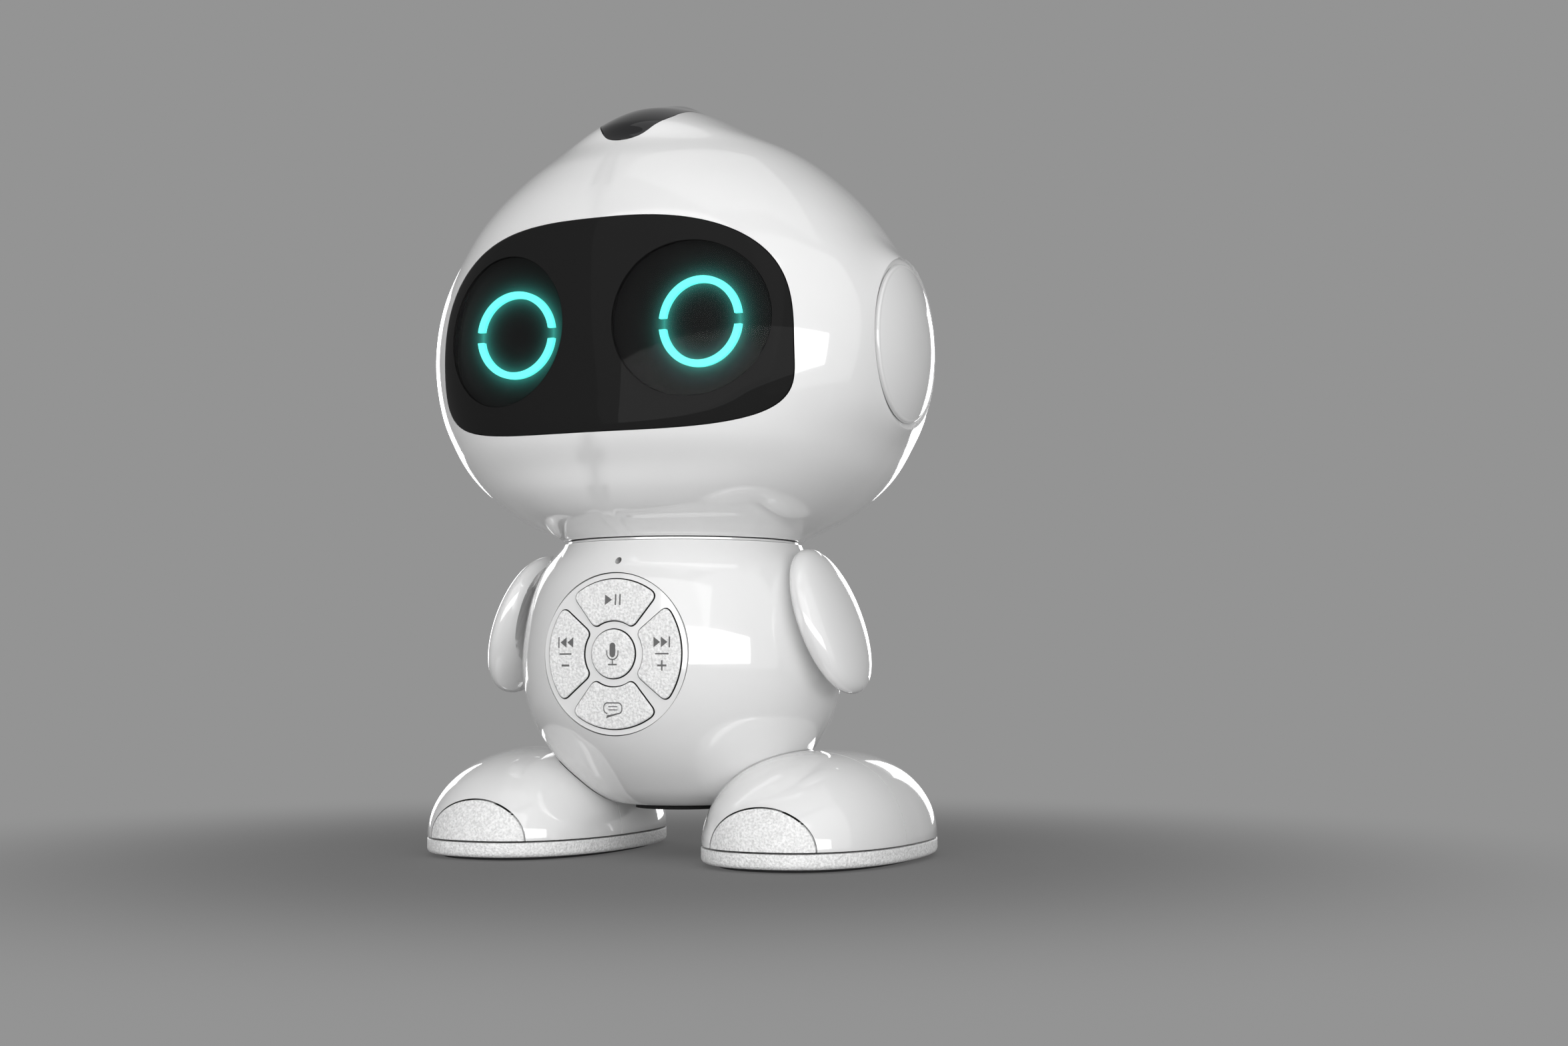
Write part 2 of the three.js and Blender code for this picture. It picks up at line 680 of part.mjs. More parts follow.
addPart("power_switch_body", switchBody, "black");
addPart("power_switch_knob", switchKnob, "matte");
addPart("charging_socket", chargeSocket, "steel");
addPair("arm", leftArm, "gloss");
addPair("arm_pivot", leftPivot, "steel");
addPair("foot_front_shell", footFront, "gloss");
addPair("foot_rear_shell", footRear, "gloss");
addPair("toe_cap", toeCap, "matte");
addPair("sole_band", sole, "matte");
addPair("sole_tread", tread, "rubber");
addPair("foot_ballast", ballast, "steel");
addPair("ankle_screw", ankleScrew, "steel");

export default robot;
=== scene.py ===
# Looks of the small talking robot: smooth moulded shells, engraved keys, lit eyes behind a
# smoked lens, textured soles, a pale studio floor and soft lights.
#
# Lengths are metres. MM turns a millimetre into metres. The robot looks along -Y and its left
# side is +X. Shell sizes come from the boxes of the CAD nodes.

import json
import math

import bmesh
import bpy
import numpy as np
from mathutils import Matrix, Vector

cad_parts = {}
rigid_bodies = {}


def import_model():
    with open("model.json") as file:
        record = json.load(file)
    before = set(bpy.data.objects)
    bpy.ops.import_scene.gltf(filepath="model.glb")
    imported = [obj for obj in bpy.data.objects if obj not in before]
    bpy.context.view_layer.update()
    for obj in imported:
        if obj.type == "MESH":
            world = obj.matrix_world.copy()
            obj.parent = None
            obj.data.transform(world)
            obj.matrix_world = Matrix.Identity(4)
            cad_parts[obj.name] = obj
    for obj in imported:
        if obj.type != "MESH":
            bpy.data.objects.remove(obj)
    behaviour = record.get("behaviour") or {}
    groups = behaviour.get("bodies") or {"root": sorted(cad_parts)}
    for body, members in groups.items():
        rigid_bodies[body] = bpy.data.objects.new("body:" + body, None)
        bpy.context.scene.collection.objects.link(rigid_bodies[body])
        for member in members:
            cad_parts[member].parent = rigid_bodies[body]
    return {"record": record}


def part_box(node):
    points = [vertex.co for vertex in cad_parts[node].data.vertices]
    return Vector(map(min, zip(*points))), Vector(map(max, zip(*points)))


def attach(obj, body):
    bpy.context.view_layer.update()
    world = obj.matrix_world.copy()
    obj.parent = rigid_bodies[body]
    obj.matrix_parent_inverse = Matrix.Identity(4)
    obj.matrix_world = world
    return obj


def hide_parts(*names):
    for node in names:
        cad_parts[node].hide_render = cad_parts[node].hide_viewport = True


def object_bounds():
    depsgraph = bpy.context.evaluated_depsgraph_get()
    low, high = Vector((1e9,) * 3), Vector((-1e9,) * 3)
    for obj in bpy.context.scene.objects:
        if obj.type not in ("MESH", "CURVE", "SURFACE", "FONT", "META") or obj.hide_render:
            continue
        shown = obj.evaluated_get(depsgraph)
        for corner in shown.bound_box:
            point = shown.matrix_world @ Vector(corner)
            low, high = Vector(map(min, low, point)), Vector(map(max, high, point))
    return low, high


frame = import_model()
cad_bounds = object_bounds()

MM = 0.001
GAP = 0.3 * MM
ROOT = "robot"

low, high = (Vector(corner) for corner in cad_bounds)
height = high.z - low.z

# ---------------------------------------------------------------- camera

CAMERA_DISTANCE = 2.702 * height
CAMERA_HEIGHT = 0.24 * height
CAMERA_AZIMUTH = math.radians(26.95)
CAMERA_TURN = math.radians(2.84)
CAMERA_PITCH = math.radians(4.19)
SENSOR_WIDTH = 36
LENS_LENGTH = 46.48


def make_camera():
    data = bpy.data.cameras.new("studio_camera")
    data.sensor_width = SENSOR_WIDTH
    data.lens = LENS_LENGTH
    data.clip_start = 0.01
    data.clip_end = 20
    camera = bpy.data.objects.new("studio_camera", data)
    bpy.context.scene.collection.objects.link(camera)
    side = Vector((math.sin(CAMERA_AZIMUTH), -math.cos(CAMERA_AZIMUTH), 0))
    camera.location = side * CAMERA_DISTANCE + Vector((0, 0, CAMERA_HEIGHT))
    heading = CAMERA_AZIMUTH - CAMERA_TURN
    level = Vector((-math.sin(heading), math.cos(heading), 0))
    aim = level * math.cos(CAMERA_PITCH) + Vector((0, 0, math.sin(CAMERA_PITCH)))
    camera.rotation_euler = aim.to_track_quat("-Z", "Y").to_euler()
    bpy.context.scene.camera = camera
    bpy.context.scene.view_settings.view_transform = "Standard"


make_camera()

# ---------------------------------------------------------------- materials


def grey(tone):
    return (tone, tone, tone)


class Recipe:
    """A node material in the making; every texture is in object coordinates."""

    def __init__(self, name):
        self.material = bpy.data.materials.new(name)
        self.material.use_nodes = True
        self.nodes = self.material.node_tree.nodes
        self.links = self.material.node_tree.links
        self.shader = self.nodes["Principled BSDF"]

    def put(self, socket, value):
        """Set a shader input to a constant, or link an output to it."""
        if isinstance(value, bpy.types.NodeSocket):
            self.links.new(value, self.shader.inputs[socket])
        else:
            self.shader.inputs[socket].default_value = value

    def node(self, kind, **settings):
        node = self.nodes.new(f"ShaderNode{kind}")
        for name, value in settings.items():
            setattr(node, name, value)
        return node

    def place(self):
        return self.node("TexCoord").outputs["Object"]

    def noise(self, scale, detail=2.0, roughness=0.5, stretch=None):
        """A noise texture; scale is in features per metre."""
        texture = self.node("TexNoise")
        texture.inputs["Scale"].default_value = scale
        texture.inputs["Detail"].default_value = detail
        texture.inputs["Roughness"].default_value = roughness
        source = self.place()
        if stretch:
            mapping = self.node("Mapping")
            mapping.inputs["Scale"].default_value = stretch
            self.links.new(source, mapping.inputs["Vector"])
            source = mapping.outputs["Vector"]
        self.links.new(source, texture.inputs["Vector"])
        return texture.outputs["Fac"]

    def spread(self, source, low_value, high_value, low_in=0.3, high_in=0.7, ease="LINEAR"):
        """Map an output onto a range of numbers."""
        ranger = self.node("MapRange", interpolation_type=ease)
        ranger.inputs["From Min"].default_value = low_in
        ranger.inputs["From Max"].default_value = high_in
        ranger.inputs["To Min"].default_value = low_value
        ranger.inputs["To Max"].default_value = high_value
        self.links.new(source, ranger.inputs["Value"])
        return ranger.outputs["Result"]

    def tint(self, source, dark, light):
        """Mix two colours by an output; each colour is a triple or an output."""
        mixer = self.node("Mix", data_type="RGBA")
        for name, colour in (("A", dark), ("B", light)):
            if isinstance(colour, tuple):
                mixer.inputs[name].default_value = (*colour, 1)
            else:
                self.links.new(colour, mixer.inputs[name])
        self.links.new(source, mixer.inputs["Factor"])
        return mixer.outputs["Result"]

    def bump(self, source, depth):
        bump = self.node("Bump")
        bump.inputs["Distance"].default_value = depth
        bump.inputs["Strength"].default_value = 1.0
        self.links.new(source, bump.inputs["Height"])
        self.put("Normal", bump.outputs["Normal"])

    def maths(self, operation, first, second=None):
        """One arithmetic node; numbers are set and sockets are linked."""
        node = self.node("Math", operation=operation)
        for socket, value in zip(node.inputs, (first, second)):
            if isinstance(value, (int, float)):
                socket.default_value = value
            elif value is not None:
                self.links.new(value, socket)
        return node.outputs["Value"]

    def eye_distance(self):
        """Distance from the nearer eye's centre, seen from the front."""
        split = self.node("SeparateXYZ")
        self.links.new(self.place(), split.inputs["Vector"])
        mirrored_x = self.maths("ABSOLUTE", split.outputs["X"])
        across = self.maths("SUBTRACT", mirrored_x, EYE_X)
        along = self.maths("SUBTRACT", split.outputs["Z"], EYE_Z)
        squares = [self.maths("MULTIPLY", part, part) for part in (across, along)]
        return self.maths("SQRT", self.maths("ADD", *squares))


EYE_X = 32.6 * MM
EYE_Z = 166.7 * MM
EYE_RADIUS = 14.05 * MM
EYE_STROKE = 2.2 * MM
EYE_BREAK = 3.4 * MM
CLEAR_RADIUS = 24 * MM
EYE_COLOUR = (0.115, 0.99, 0.83)
EYE_LIGHT = 1.3
# The mask's painted glow round each eye ring: its strength and how fast it falls away.
HALO_LIGHT = 0.42
HALO_REACH = 1.7 * MM
# A faint painted glow over the whole mask.
MASK_PAINTED_GLOW = 0.006


def gloss_plastic():
    """Polished white moulding with a faint orange peel and slight haze."""
    recipe = Recipe("gloss_white_plastic")
    recipe.put("Base Color", recipe.tint(recipe.noise(55, 3), grey(0.77), grey(0.81)))
    recipe.put("Roughness", recipe.spread(recipe.noise(140, 4), 0.07, 0.12))
    recipe.bump(recipe.noise(260, 1), 0.006 * MM)
    recipe.put("IOR", 1.55)
    recipe.put("Coat Weight", 1.0)
    recipe.put("Coat IOR", 1.7)
    recipe.put("Coat Roughness", 0.03)
    return recipe.material


def textured_plastic():
    """Spark-eroded matt moulding: a fine pitted grain, its pits coloured darker as painted shade.
    """
    recipe = Recipe("textured_white_plastic")
    grain = recipe.noise(1350, 2, 0.55)
    pit_shade = recipe.spread(grain, 0, 1, 0.35, 0.65)
    # Painted shade: where the bump sinks the grain, the colour is darker.
    recipe.put("Base Color", recipe.tint(pit_shade, grey(0.66), grey(0.92)))
    recipe.put("Roughness", recipe.spread(grain, 0.35, 0.55))
    recipe.bump(grain, 0.3 * MM)
    return recipe.material


def smoked_lens():
    """Smoked acrylic: clear in front of the eyes, printed black from behind elsewhere."""
    recipe = Recipe("smoked_lens")
    distance = recipe.eye_distance()
    clear = recipe.spread(distance, 1, 0, CLEAR_RADIUS, CLEAR_RADIUS + 0.05 * MM)
    colourless = recipe.spread(distance, 1, 0, CLEAR_RADIUS - 0.1 * MM, CLEAR_RADIUS)
    smoke = recipe.tint(recipe.noise(40, 2), grey(0.0132), grey(0.0142))
    recipe.put("Base Color", recipe.tint(colourless, smoke, grey(0.8)))
    recipe.put("Transmission Weight", clear)
    recipe.put("IOR", 1.1)
    recipe.put("Roughness", 0.02)
    return recipe.material


def plain_material(name, texture, dark, light, rough, depth=0, fixed=()):
    """A material whose tone, roughness and relief follow one noise texture."""
    recipe = Recipe(name)
    grain = recipe.noise(*texture)
    recipe.put("Base Color", recipe.tint(grain, dark, light))
    recipe.put("Roughness", recipe.spread(grain, *rough) if isinstance(rough, tuple) else rough)
    if depth:
        recipe.bump(grain, depth)
    for socket, value in fixed:
        recipe.put(socket, value)
    return recipe.material


def circuit_board():
    recipe = Recipe("circuit_board")
    tracks = recipe.node("TexVoronoi", distance="CHEBYCHEV")
    tracks.inputs["Scale"].default_value = 260
    recipe.links.new(recipe.place(), tracks.inputs["Vector"])
    pattern = tracks.outputs["Distance"]
    recipe.put("Base Color", recipe.tint(pattern, (0.01, 0.09, 0.035), (0.03, 0.26, 0.11)))
    recipe.put("Roughness", 0.35)
    recipe.bump(pattern, 0.05 * MM)
    return recipe.material


def eye_light():
    """Lit light guide: a mint glow, nearly even."""
    recipe = Recipe("eye_light")
    recipe.put("Base Color", (*EYE_COLOUR, 1))
    recipe.put("Emission Color", recipe.tint(recipe.noise(300, 2), EYE_COLOUR, (0.135, 1.0, 0.85)))
    recipe.put("Emission Strength", EYE_LIGHT)
    return recipe.material


def painted_glow_mask():
    """Black mask with a painted glow round the two light rings and a faint painted glow all over.
    """
    recipe = Recipe("eye_mask_glow")
    recipe.put("Base Color", recipe.tint(recipe.noise(800, 2), grey(0.003), grey(0.005)))
    recipe.put("Roughness", 0.8)
    recipe.put("Specular IOR Level", 0.1)
    from_middle = recipe.maths("SUBTRACT", recipe.eye_distance(), EYE_RADIUS - EYE_STROKE / 2)
    fall = recipe.maths("MULTIPLY", recipe.maths("ABSOLUTE", from_middle), -1 / HALO_REACH)
    glow = tuple(HALO_LIGHT * part for part in EYE_COLOUR)
    fade = recipe.maths("EXPONENT", fall)
    # Painted glow: bright at each ring, falling away from it, over the faint painted glow.
    recipe.put("Emission Color", recipe.tint(fade, grey(MASK_PAINTED_GLOW), glow))
    recipe.put("Emission Strength", 1)
    return recipe.material


GLOSS = gloss_plastic()
MATTE = textured_plastic()
LENS = smoked_lens()
GLOW = eye_light()
PAINTED_HALO = painted_glow_mask()
SATIN = (0.51, 0.69)
BLACK_GLOSS = plain_material(
    "black_gloss_acrylic", (60, 2), (0.004, 0.004, 0.005), (0.008, 0.008, 0.009), (0.03, 0.06),
    fixed=(("Coat Weight", 0.6), ("Coat Roughness", 0.02)),
)
DULL_BLACK = plain_material(
    "dull_black_plastic", (900, 2), grey(0.012), grey(0.018), 0.75, 0.05 * MM,
    fixed=(("Specular IOR Level", 0.2),),
)
RUBBER = plain_material(
    "tread_rubber", (700, 3), (0.012, 0.012, 0.013), (0.03, 0.03, 0.032), (0.6, 0.85), 0.08 * MM
)
STEEL = plain_material(
    "plated_steel", (400, 2, 0.5, (1, 1, 14)), (0.42, 0.43, 0.44), (0.62, 0.63, 0.65), (0.25, 0.4),
    fixed=(("Metallic", 1.0),),
)
SILICONE = plain_material("silicone_mat", (120, 3), (0.52, 0.52, 0.50), (0.62, 0.62, 0.60), SATIN)
CELL = plain_material("cell_wrap", (120, 3), (0.02, 0.10, 0.28), (0.03, 0.15, 0.36), (0.255, 0.345))
# Dark grey filling for the engraved glyphs: painted shade in their grooves.
GROOVE_SHADE = plain_material("glyph_groove_shade", (120, 3), grey(0.10), grey(0.15), SATIN)

CAD_MATERIALS = {
    "gloss": GLOSS,
    "matte": MATTE,
    "lens": BLACK_GLOSS,
    "glow": GLOW,
    "black": DULL_BLACK,
    "rubber": RUBBER,
    "board": circuit_board(),
    "steel": STEEL,
    "silicone": SILICONE,
    "cell": CELL,
}
for entry in frame["record"]["subparts"]:
    node = bpy.data.objects[entry["node"]]
    node.data.materials.clear()
    node.data.materials.append(CAD_MATERIALS[entry["material_slot"]])

# ---------------------------------------------------------------- mesh tools


def new_object(name, vertices, faces):
    mesh = bpy.data.meshes.new(name)
    mesh.from_pydata([tuple(v) for v in vertices], [], faces)
    mesh.validate()
    piece = bpy.data.objects.new(name, mesh)
    bpy.context.scene.collection.objects.link(piece)
    return piece


def loft(name, rings):
    """A closed skin over rings of points, lowest ring first; rings is levels x count x 3."""
    rings = np.asarray(rings, dtype=float)
    levels, count, _ = rings.shape
    here = np.arange(count)
    after = (here + 1) % count
    faces = []
    for level in range(levels - 1):
        base = level * count
        quads = np.stack(
            [base + here, base + after, base + count + after, base + count + here], axis=1
        )
        faces.extend(map(tuple, quads.tolist()))
    faces.append(tuple(reversed(range(count))))
    faces.append(tuple(range((levels - 1) * count, levels * count)))
    return new_object(name, rings.reshape(-1, 3), faces)


def super_ring(z, half_width, half_depth, power, count, cx=0.0, cy=0.0):
    """A superellipse in a horizontal plane."""
    angle = np.linspace(0, 2 * np.pi, count, endpoint=False)
    cosine, sine = np.cos(angle), np.sin(angle)
    x = cx + half_width * np.sign(cosine) * np.abs(cosine) ** (2 / power)
    y = cy + half_depth * np.sign(sine) * np.abs(sine) ** (2 / power)
    return np.stack([x, y, np.full(count, z)], axis=1)


def smooth_profile(points, samples):
    """Centripetal Catmull-Rom curve through the rows of points, sampled evenly per span."""
    points = np.asarray(points, dtype=float)
    before = 2 * points[0] - points[1]
    beyond = 2 * points[-1] - points[-2]
    chain = np.vstack([before, points, beyond])
    result = []
    for k in range(1, len(chain) - 2):
        p0, p1, p2, p3 = chain[k - 1 : k + 3]
        knots = [0.0]
        for start, stop in ((p0, p1), (p1, p2), (p2, p3)):
            knots.append(knots[-1] + max(np.linalg.norm(stop - start), 1e-9) ** 0.5)
        t0, t1, t2, t3 = knots
        for t in np.linspace(t1, t2, samples, endpoint=False):
            a1 = (t1 - t) / (t1 - t0) * p0 + (t - t0) / (t1 - t0) * p1
            a2 = (t2 - t) / (t2 - t1) * p1 + (t - t1) / (t2 - t1) * p2
            a3 = (t3 - t) / (t3 - t2) * p2 + (t - t2) / (t3 - t2) * p3
            b1 = (t2 - t) / (t2 - t0) * a1 + (t - t0) / (t2 - t0) * a2
            b2 = (t3 - t) / (t3 - t1) * a2 + (t - t1) / (t3 - t1) * a3
            result.append((t2 - t) / (t2 - t1) * b1 + (t - t1) / (t2 - t1) * b2)
    result.append(points[-1])
    return np.array(result)


def resample(profile, count):
    """Rows of a profile spaced evenly along its length."""
    steps = np.linalg.norm(np.diff(profile, axis=0), axis=1)
    along = np.concatenate([[0], np.cumsum(steps)])
    wanted = np.linspace(0, along[-1], count)
    return np.stack([np.interp(wanted, along, column) for column in profile.T], axis=1)


def smoothstep(value, start, stop):
    t = np.clip((value - start) / (stop - start), 0, 1)
    return t * t * (3 - 2 * t)


def level_ring(axis, level, first, second):
    """Points at one place along an axis; first and second are their other coordinates."""
    level = np.full(len(first), level)
    columns = {
        "X": (level, first, second),
        "Y": (first, level, second),
        "Z": (first, second, level),
    }
    return np.stack(columns[axis], axis=1)


def prism(name, outline, depth_from, depth_to, axis="Y"):
    """Carry an outline of (across, up) pairs along an axis, as a closed cutter."""
    across, up = np.asarray(outline, dtype=float).T
    ends = [level_ring(axis, depth, across, up) for depth in (depth_from, depth_to)]
    return upright(loft(name, ends))


def upright(piece):
    """Turn all faces outward."""
    shape = bmesh.new()
    shape.from_mesh(piece.data)
    bmesh.ops.recalc_face_normals(shape, faces=shape.faces)
    if shape.calc_volume(signed=True) < 0:
        bmesh.ops.reverse_faces(shape, faces=shape.faces)
    shape.to_mesh(piece.data)
    shape.free()
    return piece


def box_tool(name, x0, x1, y0, y1, z0, z1):
    return prism(name, [(x0, z0), (x1, z0), (x1, z1), (x0, z1)], y0, y1)


def circle(radius, count=64, across=0.0, up=0.0):
    angle = np.linspace(0, 2 * np.pi, count, endpoint=False)
    return np.stack([across + radius * np.cos(angle), up + radius * np.sin(angle)], axis=1)


def combine(piece, tool, operation="DIFFERENCE", keep_tool=False):
    """Cut, join or keep what is common with another closed piece."""
    modifier = piece.modifiers.new("combine", "BOOLEAN")
    modifier.operation = operation
    modifier.solver = "MANIFOLD"
    modifier.object = tool
    graph = bpy.context.evaluated_depsgraph_get()
    mesh = bpy.data.meshes.new_from_object(piece.evaluated_get(graph))
    piece.modifiers.clear()
    old = piece.data
    piece.data = mesh
    bpy.data.meshes.remove(old)
    if not keep_tool:
        discard(tool)
    return piece


def discard(piece):
    mesh = piece.data
    bpy.data.objects.remove(piece)
    bpy.data.meshes.remove(mesh)


def copy_of(piece, name):
    twin = piece.copy()
    twin.data = piece.data.copy()
    twin.name = twin.data.name = name
    bpy.context.scene.collection.objects.link(twin)
    return twin


def mirrored(piece, name):
    twin = copy_of(piece, name)
    twin.data.transform(Matrix.Scale(-1, 4, (1, 0, 0)))
    twin.data.flip_normals()
    return twin


def read_points(mesh):
    points = np.empty(len(mesh.vertices) * 3)
    mesh.vertices.foreach_get("co", points)
    return points.reshape(-1, 3)


def slope(field, points, step=0.05 * MM):
    """Unit gradient of a field, by central differences."""
    rises = []
    for axis in range(3):
        nudge = np.zeros(3)
        nudge[axis] = step
        rises.append((field(points + nudge) - field(points - nudge)) / (2 * step))
    gradient = np.stack(rises, axis=1)
    size = np.linalg.norm(gradient, axis=1, keepdims=True)
    return gradient / np.maximum(size, 1e-12), size[:, 0]


def polish(piece, *fields, reach=0.12 * MM):
    """Give every corner that lies on one of the smooth fields that field's own normal."""
    mesh = piece.data
    mesh.shade_smooth()
    count = len(mesh.loops)
    owner = np.empty(count, dtype=int)
    mesh.loops.foreach_get("vertex_index", owner)
    face_normals = np.empty(len(mesh.polygons) * 3)
    mesh.polygons.foreach_get("normal", face_normals)
    face_normals = face_normals.reshape(-1, 3)
    sizes = np.empty(len(mesh.polygons), dtype=int)
    mesh.polygons.foreach_get("loop_total", sizes)
    normals = np.repeat(face_normals, sizes, axis=0)
    flat = normals.copy()
    points = read_points(mesh)
    for field in fields:
        direction, size = slope(field, points)
        distance = np.abs(field(points)) / np.maximum(size, 1e-12)
        corner_direction = direction[owner]
        facing = np.sum(corner_direction * flat, axis=1)
        fits = (distance[owner] < reach) & (np.abs(facing) > 0.8)
        normals[fits] = corner_direction[fits] * np.sign(facing[fits])[:, None]
    mesh.normals_split_custom_set(normals.tolist())
    return piece


def finish_piece(piece, material, body, slot, *nodes):
    """Give a piece its material and its body, and hide the CAD nodes it stands for; the slot is not
    used.
    """
    if not piece.data.materials:
        piece.data.materials.append(material)
    else:
        piece.data.materials[0] = material
    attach(piece, body)
    if nodes:
        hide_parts(*nodes)
    return piece

# ---------------------------------------------------------------- head

HEAD_LEVELS = [
    (102.6, 40, 40),
    (105.5, 45.8, 46),
    (110, 54.6, 53.5),
    (116, 62.7, 58.5),
    (123, 69.3, 61.5),
    (132, 74.5, 65.6),
    (144, 80.6, 66.4),
    (163, 84.1, 66.4),
    (182, 81.1, 65),
    (200, 70.9, 62.3),
    (212, 62.5, 57.7),
    (221, 53.8, 51.7),
    (229, 43.3, 43.2),
    (236, 29.2, 38.2),
    (242, 18.1, 28.6),
    (246, 10, 16.3),
    (249, 4.4, 6),
    (250, 0.4, 0.6),
]
HEAD_SQUARENESS = 0.35
HEAD_MIDDLE = 163 * MM
CROWN_SHIFT = -2.5
head_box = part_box("head_front_shell")
head_rear_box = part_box("head_rear_cover")
head_parting = head_box[1][1]

head_profile = smooth_profile([(w, d, z) for z, w, d in HEAD_LEVELS], 60) * MM
head_z = head_profile[:, 2]


def head_section(z):
    """Half width, half depth, squareness and centre of the head at a height."""
    width = np.interp(z, head_z, head_profile[:, 0])
    depth = np.interp(z, head_z, head_profile[:, 1])
    rise = smoothstep(z, 0.102, 0.132) * (1 - smoothstep(z, 0.200, 0.232))
    power = 2 + HEAD_SQUARENESS * rise
    shift = CROWN_SHIFT * MM * smoothstep(z, 0.215, 0.240)
    return width, depth, power, shift


def head_field(points):
    """Negative inside the head's outer skin, zero on it."""
    width, depth, power, shift = head_section(points[:, 2])
    across = np.abs(points[:, 0]) / width
    along = np.abs(points[:, 1] - shift) / depth
    return across**power + along**power - 1


def head_solid(name, count, samples, inset=0.0):
    """The egg as a closed solid, drawn in by an inset on every side."""
    rings = []
    for width, depth, z in resample(head_profile, samples):
        _, _, power, shift = head_section(z)
        rings.append(super_ring(z, width, depth, power, count, 0, shift))
    solid = loft(name, rings)
    if inset:
        shrink_head(solid, inset)
    return solid


head_middle = np.array([0, 0, HEAD_MIDDLE])
head_half = np.array([head_profile[:, 0].max(), head_profile[:, 1].max(), np.ptp(head_z) / 2])


def shrink_head(solid, inset):
    points = (read_points(solid.data) - head_middle) * (1 - inset / head_half) + head_middle
    solid.data.vertices.foreach_set("co", points.ravel())
    solid.data.update()


WINDOW_Z = 157 * MM
WINDOW_HALF_WIDTH = 62.3 * MM
WINDOW_UP = 43 * MM
WINDOW_DOWN = 24.2 * MM
WINDOW_TOP_POWER = 3
WINDOW_BOTTOM_POWER = 3.6


def window_outline(grow, count=288):
    """The face window seen from the front: superellipses above and below its middle."""
    angle = np.linspace(0, 2 * np.pi, count, endpoint=False)
    upper = np.sin(angle) >= 0
    power = 2 / np.where(upper, WINDOW_TOP_POWER, WINDOW_BOTTOM_POWER)
    tall = np.where(upper, WINDOW_UP, WINDOW_DOWN) + grow
    across = np.sign(np.cos(angle)) * np.abs(np.cos(angle)) ** power
    along = np.sign(np.sin(angle)) * np.abs(np.sin(angle)) ** power
    outline = np.stack([(WINDOW_HALF_WIDTH + grow) * across, WINDOW_Z + tall * along], axis=1)
    return even_outline(outline, count)


def even_outline(outline, count):
    """The same closed outline with evenly spaced points."""
    closed = np.vstack([outline, outline[:1]])
    return resample(closed, count + 1)[:-1]


CROWN_HALF_WIDTH = 13 * MM
CROWN_FRONT = -45 * MM
CROWN_REAR = 20 * MM


def stadium(half_width, front, rear, count=48):
    """Outline of a round-ended strip that runs along the second axis."""
    angle = np.linspace(0, np.pi, count)
    back = np.stack([np.cos(angle), np.sin(angle)], axis=1) * half_width
    return np.vstack([back + (0, rear - half_width), (0, front + half_width) - back])


def crown_tool(grow):
    plan = stadium(CROWN_HALF_WIDTH + grow, CROWN_FRONT - grow, CROWN_REAR + grow)
    plan = even_outline(plan, 200)
    return prism("crown_tool", plan, 205 * MM, 260 * MM, axis="Z")


EAR_Z = 164.5 * MM
EAR_FACET = 78.3 * MM
EAR_RING_RADIUS = 27.4 * MM
EAR_RADIUS = 25.4 * MM
EAR_RIM = 79.5 * MM
EAR_FLOOR_RADIUS = 23 * MM
FLARE_WIDTH = 10 * MM


def head_side(y, z):
    """Half width of the head's skin at a point of the side view."""
    width, depth, power, shift = head_section(z)
    along = np.clip(np.abs(y - shift) / depth, 0, 1)
    return width * (1 - along**power) ** (1 / power)


def ear_flare_height(y, z):
    """Outer surface of the flare around an ear, as a distance from the middle plane."""
    radius = np.hypot(y, z - EAR_Z)
    ring_y = y * EAR_RING_RADIUS / radius
    ring_z = EAR_Z + (z - EAR_Z) * EAR_RING_RADIUS / radius
    rise = EAR_RIM - head_side(ring_y, ring_z)
    t = np.clip((radius - EAR_RING_RADIUS) / FLARE_WIDTH, 0, 1)
    return head_side(y, z) + rise * (1 - t) ** 2.4 - 0.02 * MM


def ear_flare_field(points):
    return np.abs(points[:, 0]) - ear_flare_height(points[:, 1], points[:, 2])


def ear_flare():
    """A ring that swells out of the head's side to meet the ear cap's recess."""
    count, steps = 200, 22
    angle = np.linspace(0, 2 * np.pi, count, endpoint=False)
    tops = []
    for t in np.linspace(0, 1, steps):
        radius = EAR_RING_RADIUS + FLARE_WIDTH * t
        y = radius * np.cos(angle)
        z = EAR_Z + radius * np.sin(angle)
        tops.append(np.stack([ear_flare_height(y, z), y, z], axis=1))
    shrink = EAR_FLOOR_RADIUS / EAR_RING_RADIUS
    inner = (tops[0] - (0, 0, EAR_Z)) * (1, shrink, shrink) + (0, 0, EAR_Z)
    under = (-4 * MM, 0, 0)
    rows = [inner + under, inner] + tops + [tops[-1] + (-1.6 * MM, 0, 0), tops[0] + under]
    rows.append(rows[0])
    return upright(ring_solid("ear_flare", rows))


def ring_solid(name, rows):
    """A closed ring; rows of points go once round its cross-section and end on the first row."""
    rows = np.asarray(rows[:-1])
    levels, count, _ = rows.shape
    faces = []
    for level in range(levels):
        lower = level * count
        upper = (level + 1) % levels * count
        for k in range(count):
            after = (k + 1) % count
            faces.append((lower + k, lower + after, upper + after, upper + k))
    return new_object(name, rows.reshape(-1, 3), faces)


def disc_x(name, radius, x0, x1, y, z, count=96):
    outline = circle(radius, count, y, z)
    return prism(name, outline, x0, x1, axis="X")


def disc_y(name, radius, y0, y1, x, z, count=96):
    return prism(name, circle(radius, count, x, z), y0, y1, axis="Y")


def disc_z(name, radius, z0, z1, x=0.0, y=0.0, count=96):
    return prism(name, circle(radius, count, x, y), z0, z1, axis="Z")


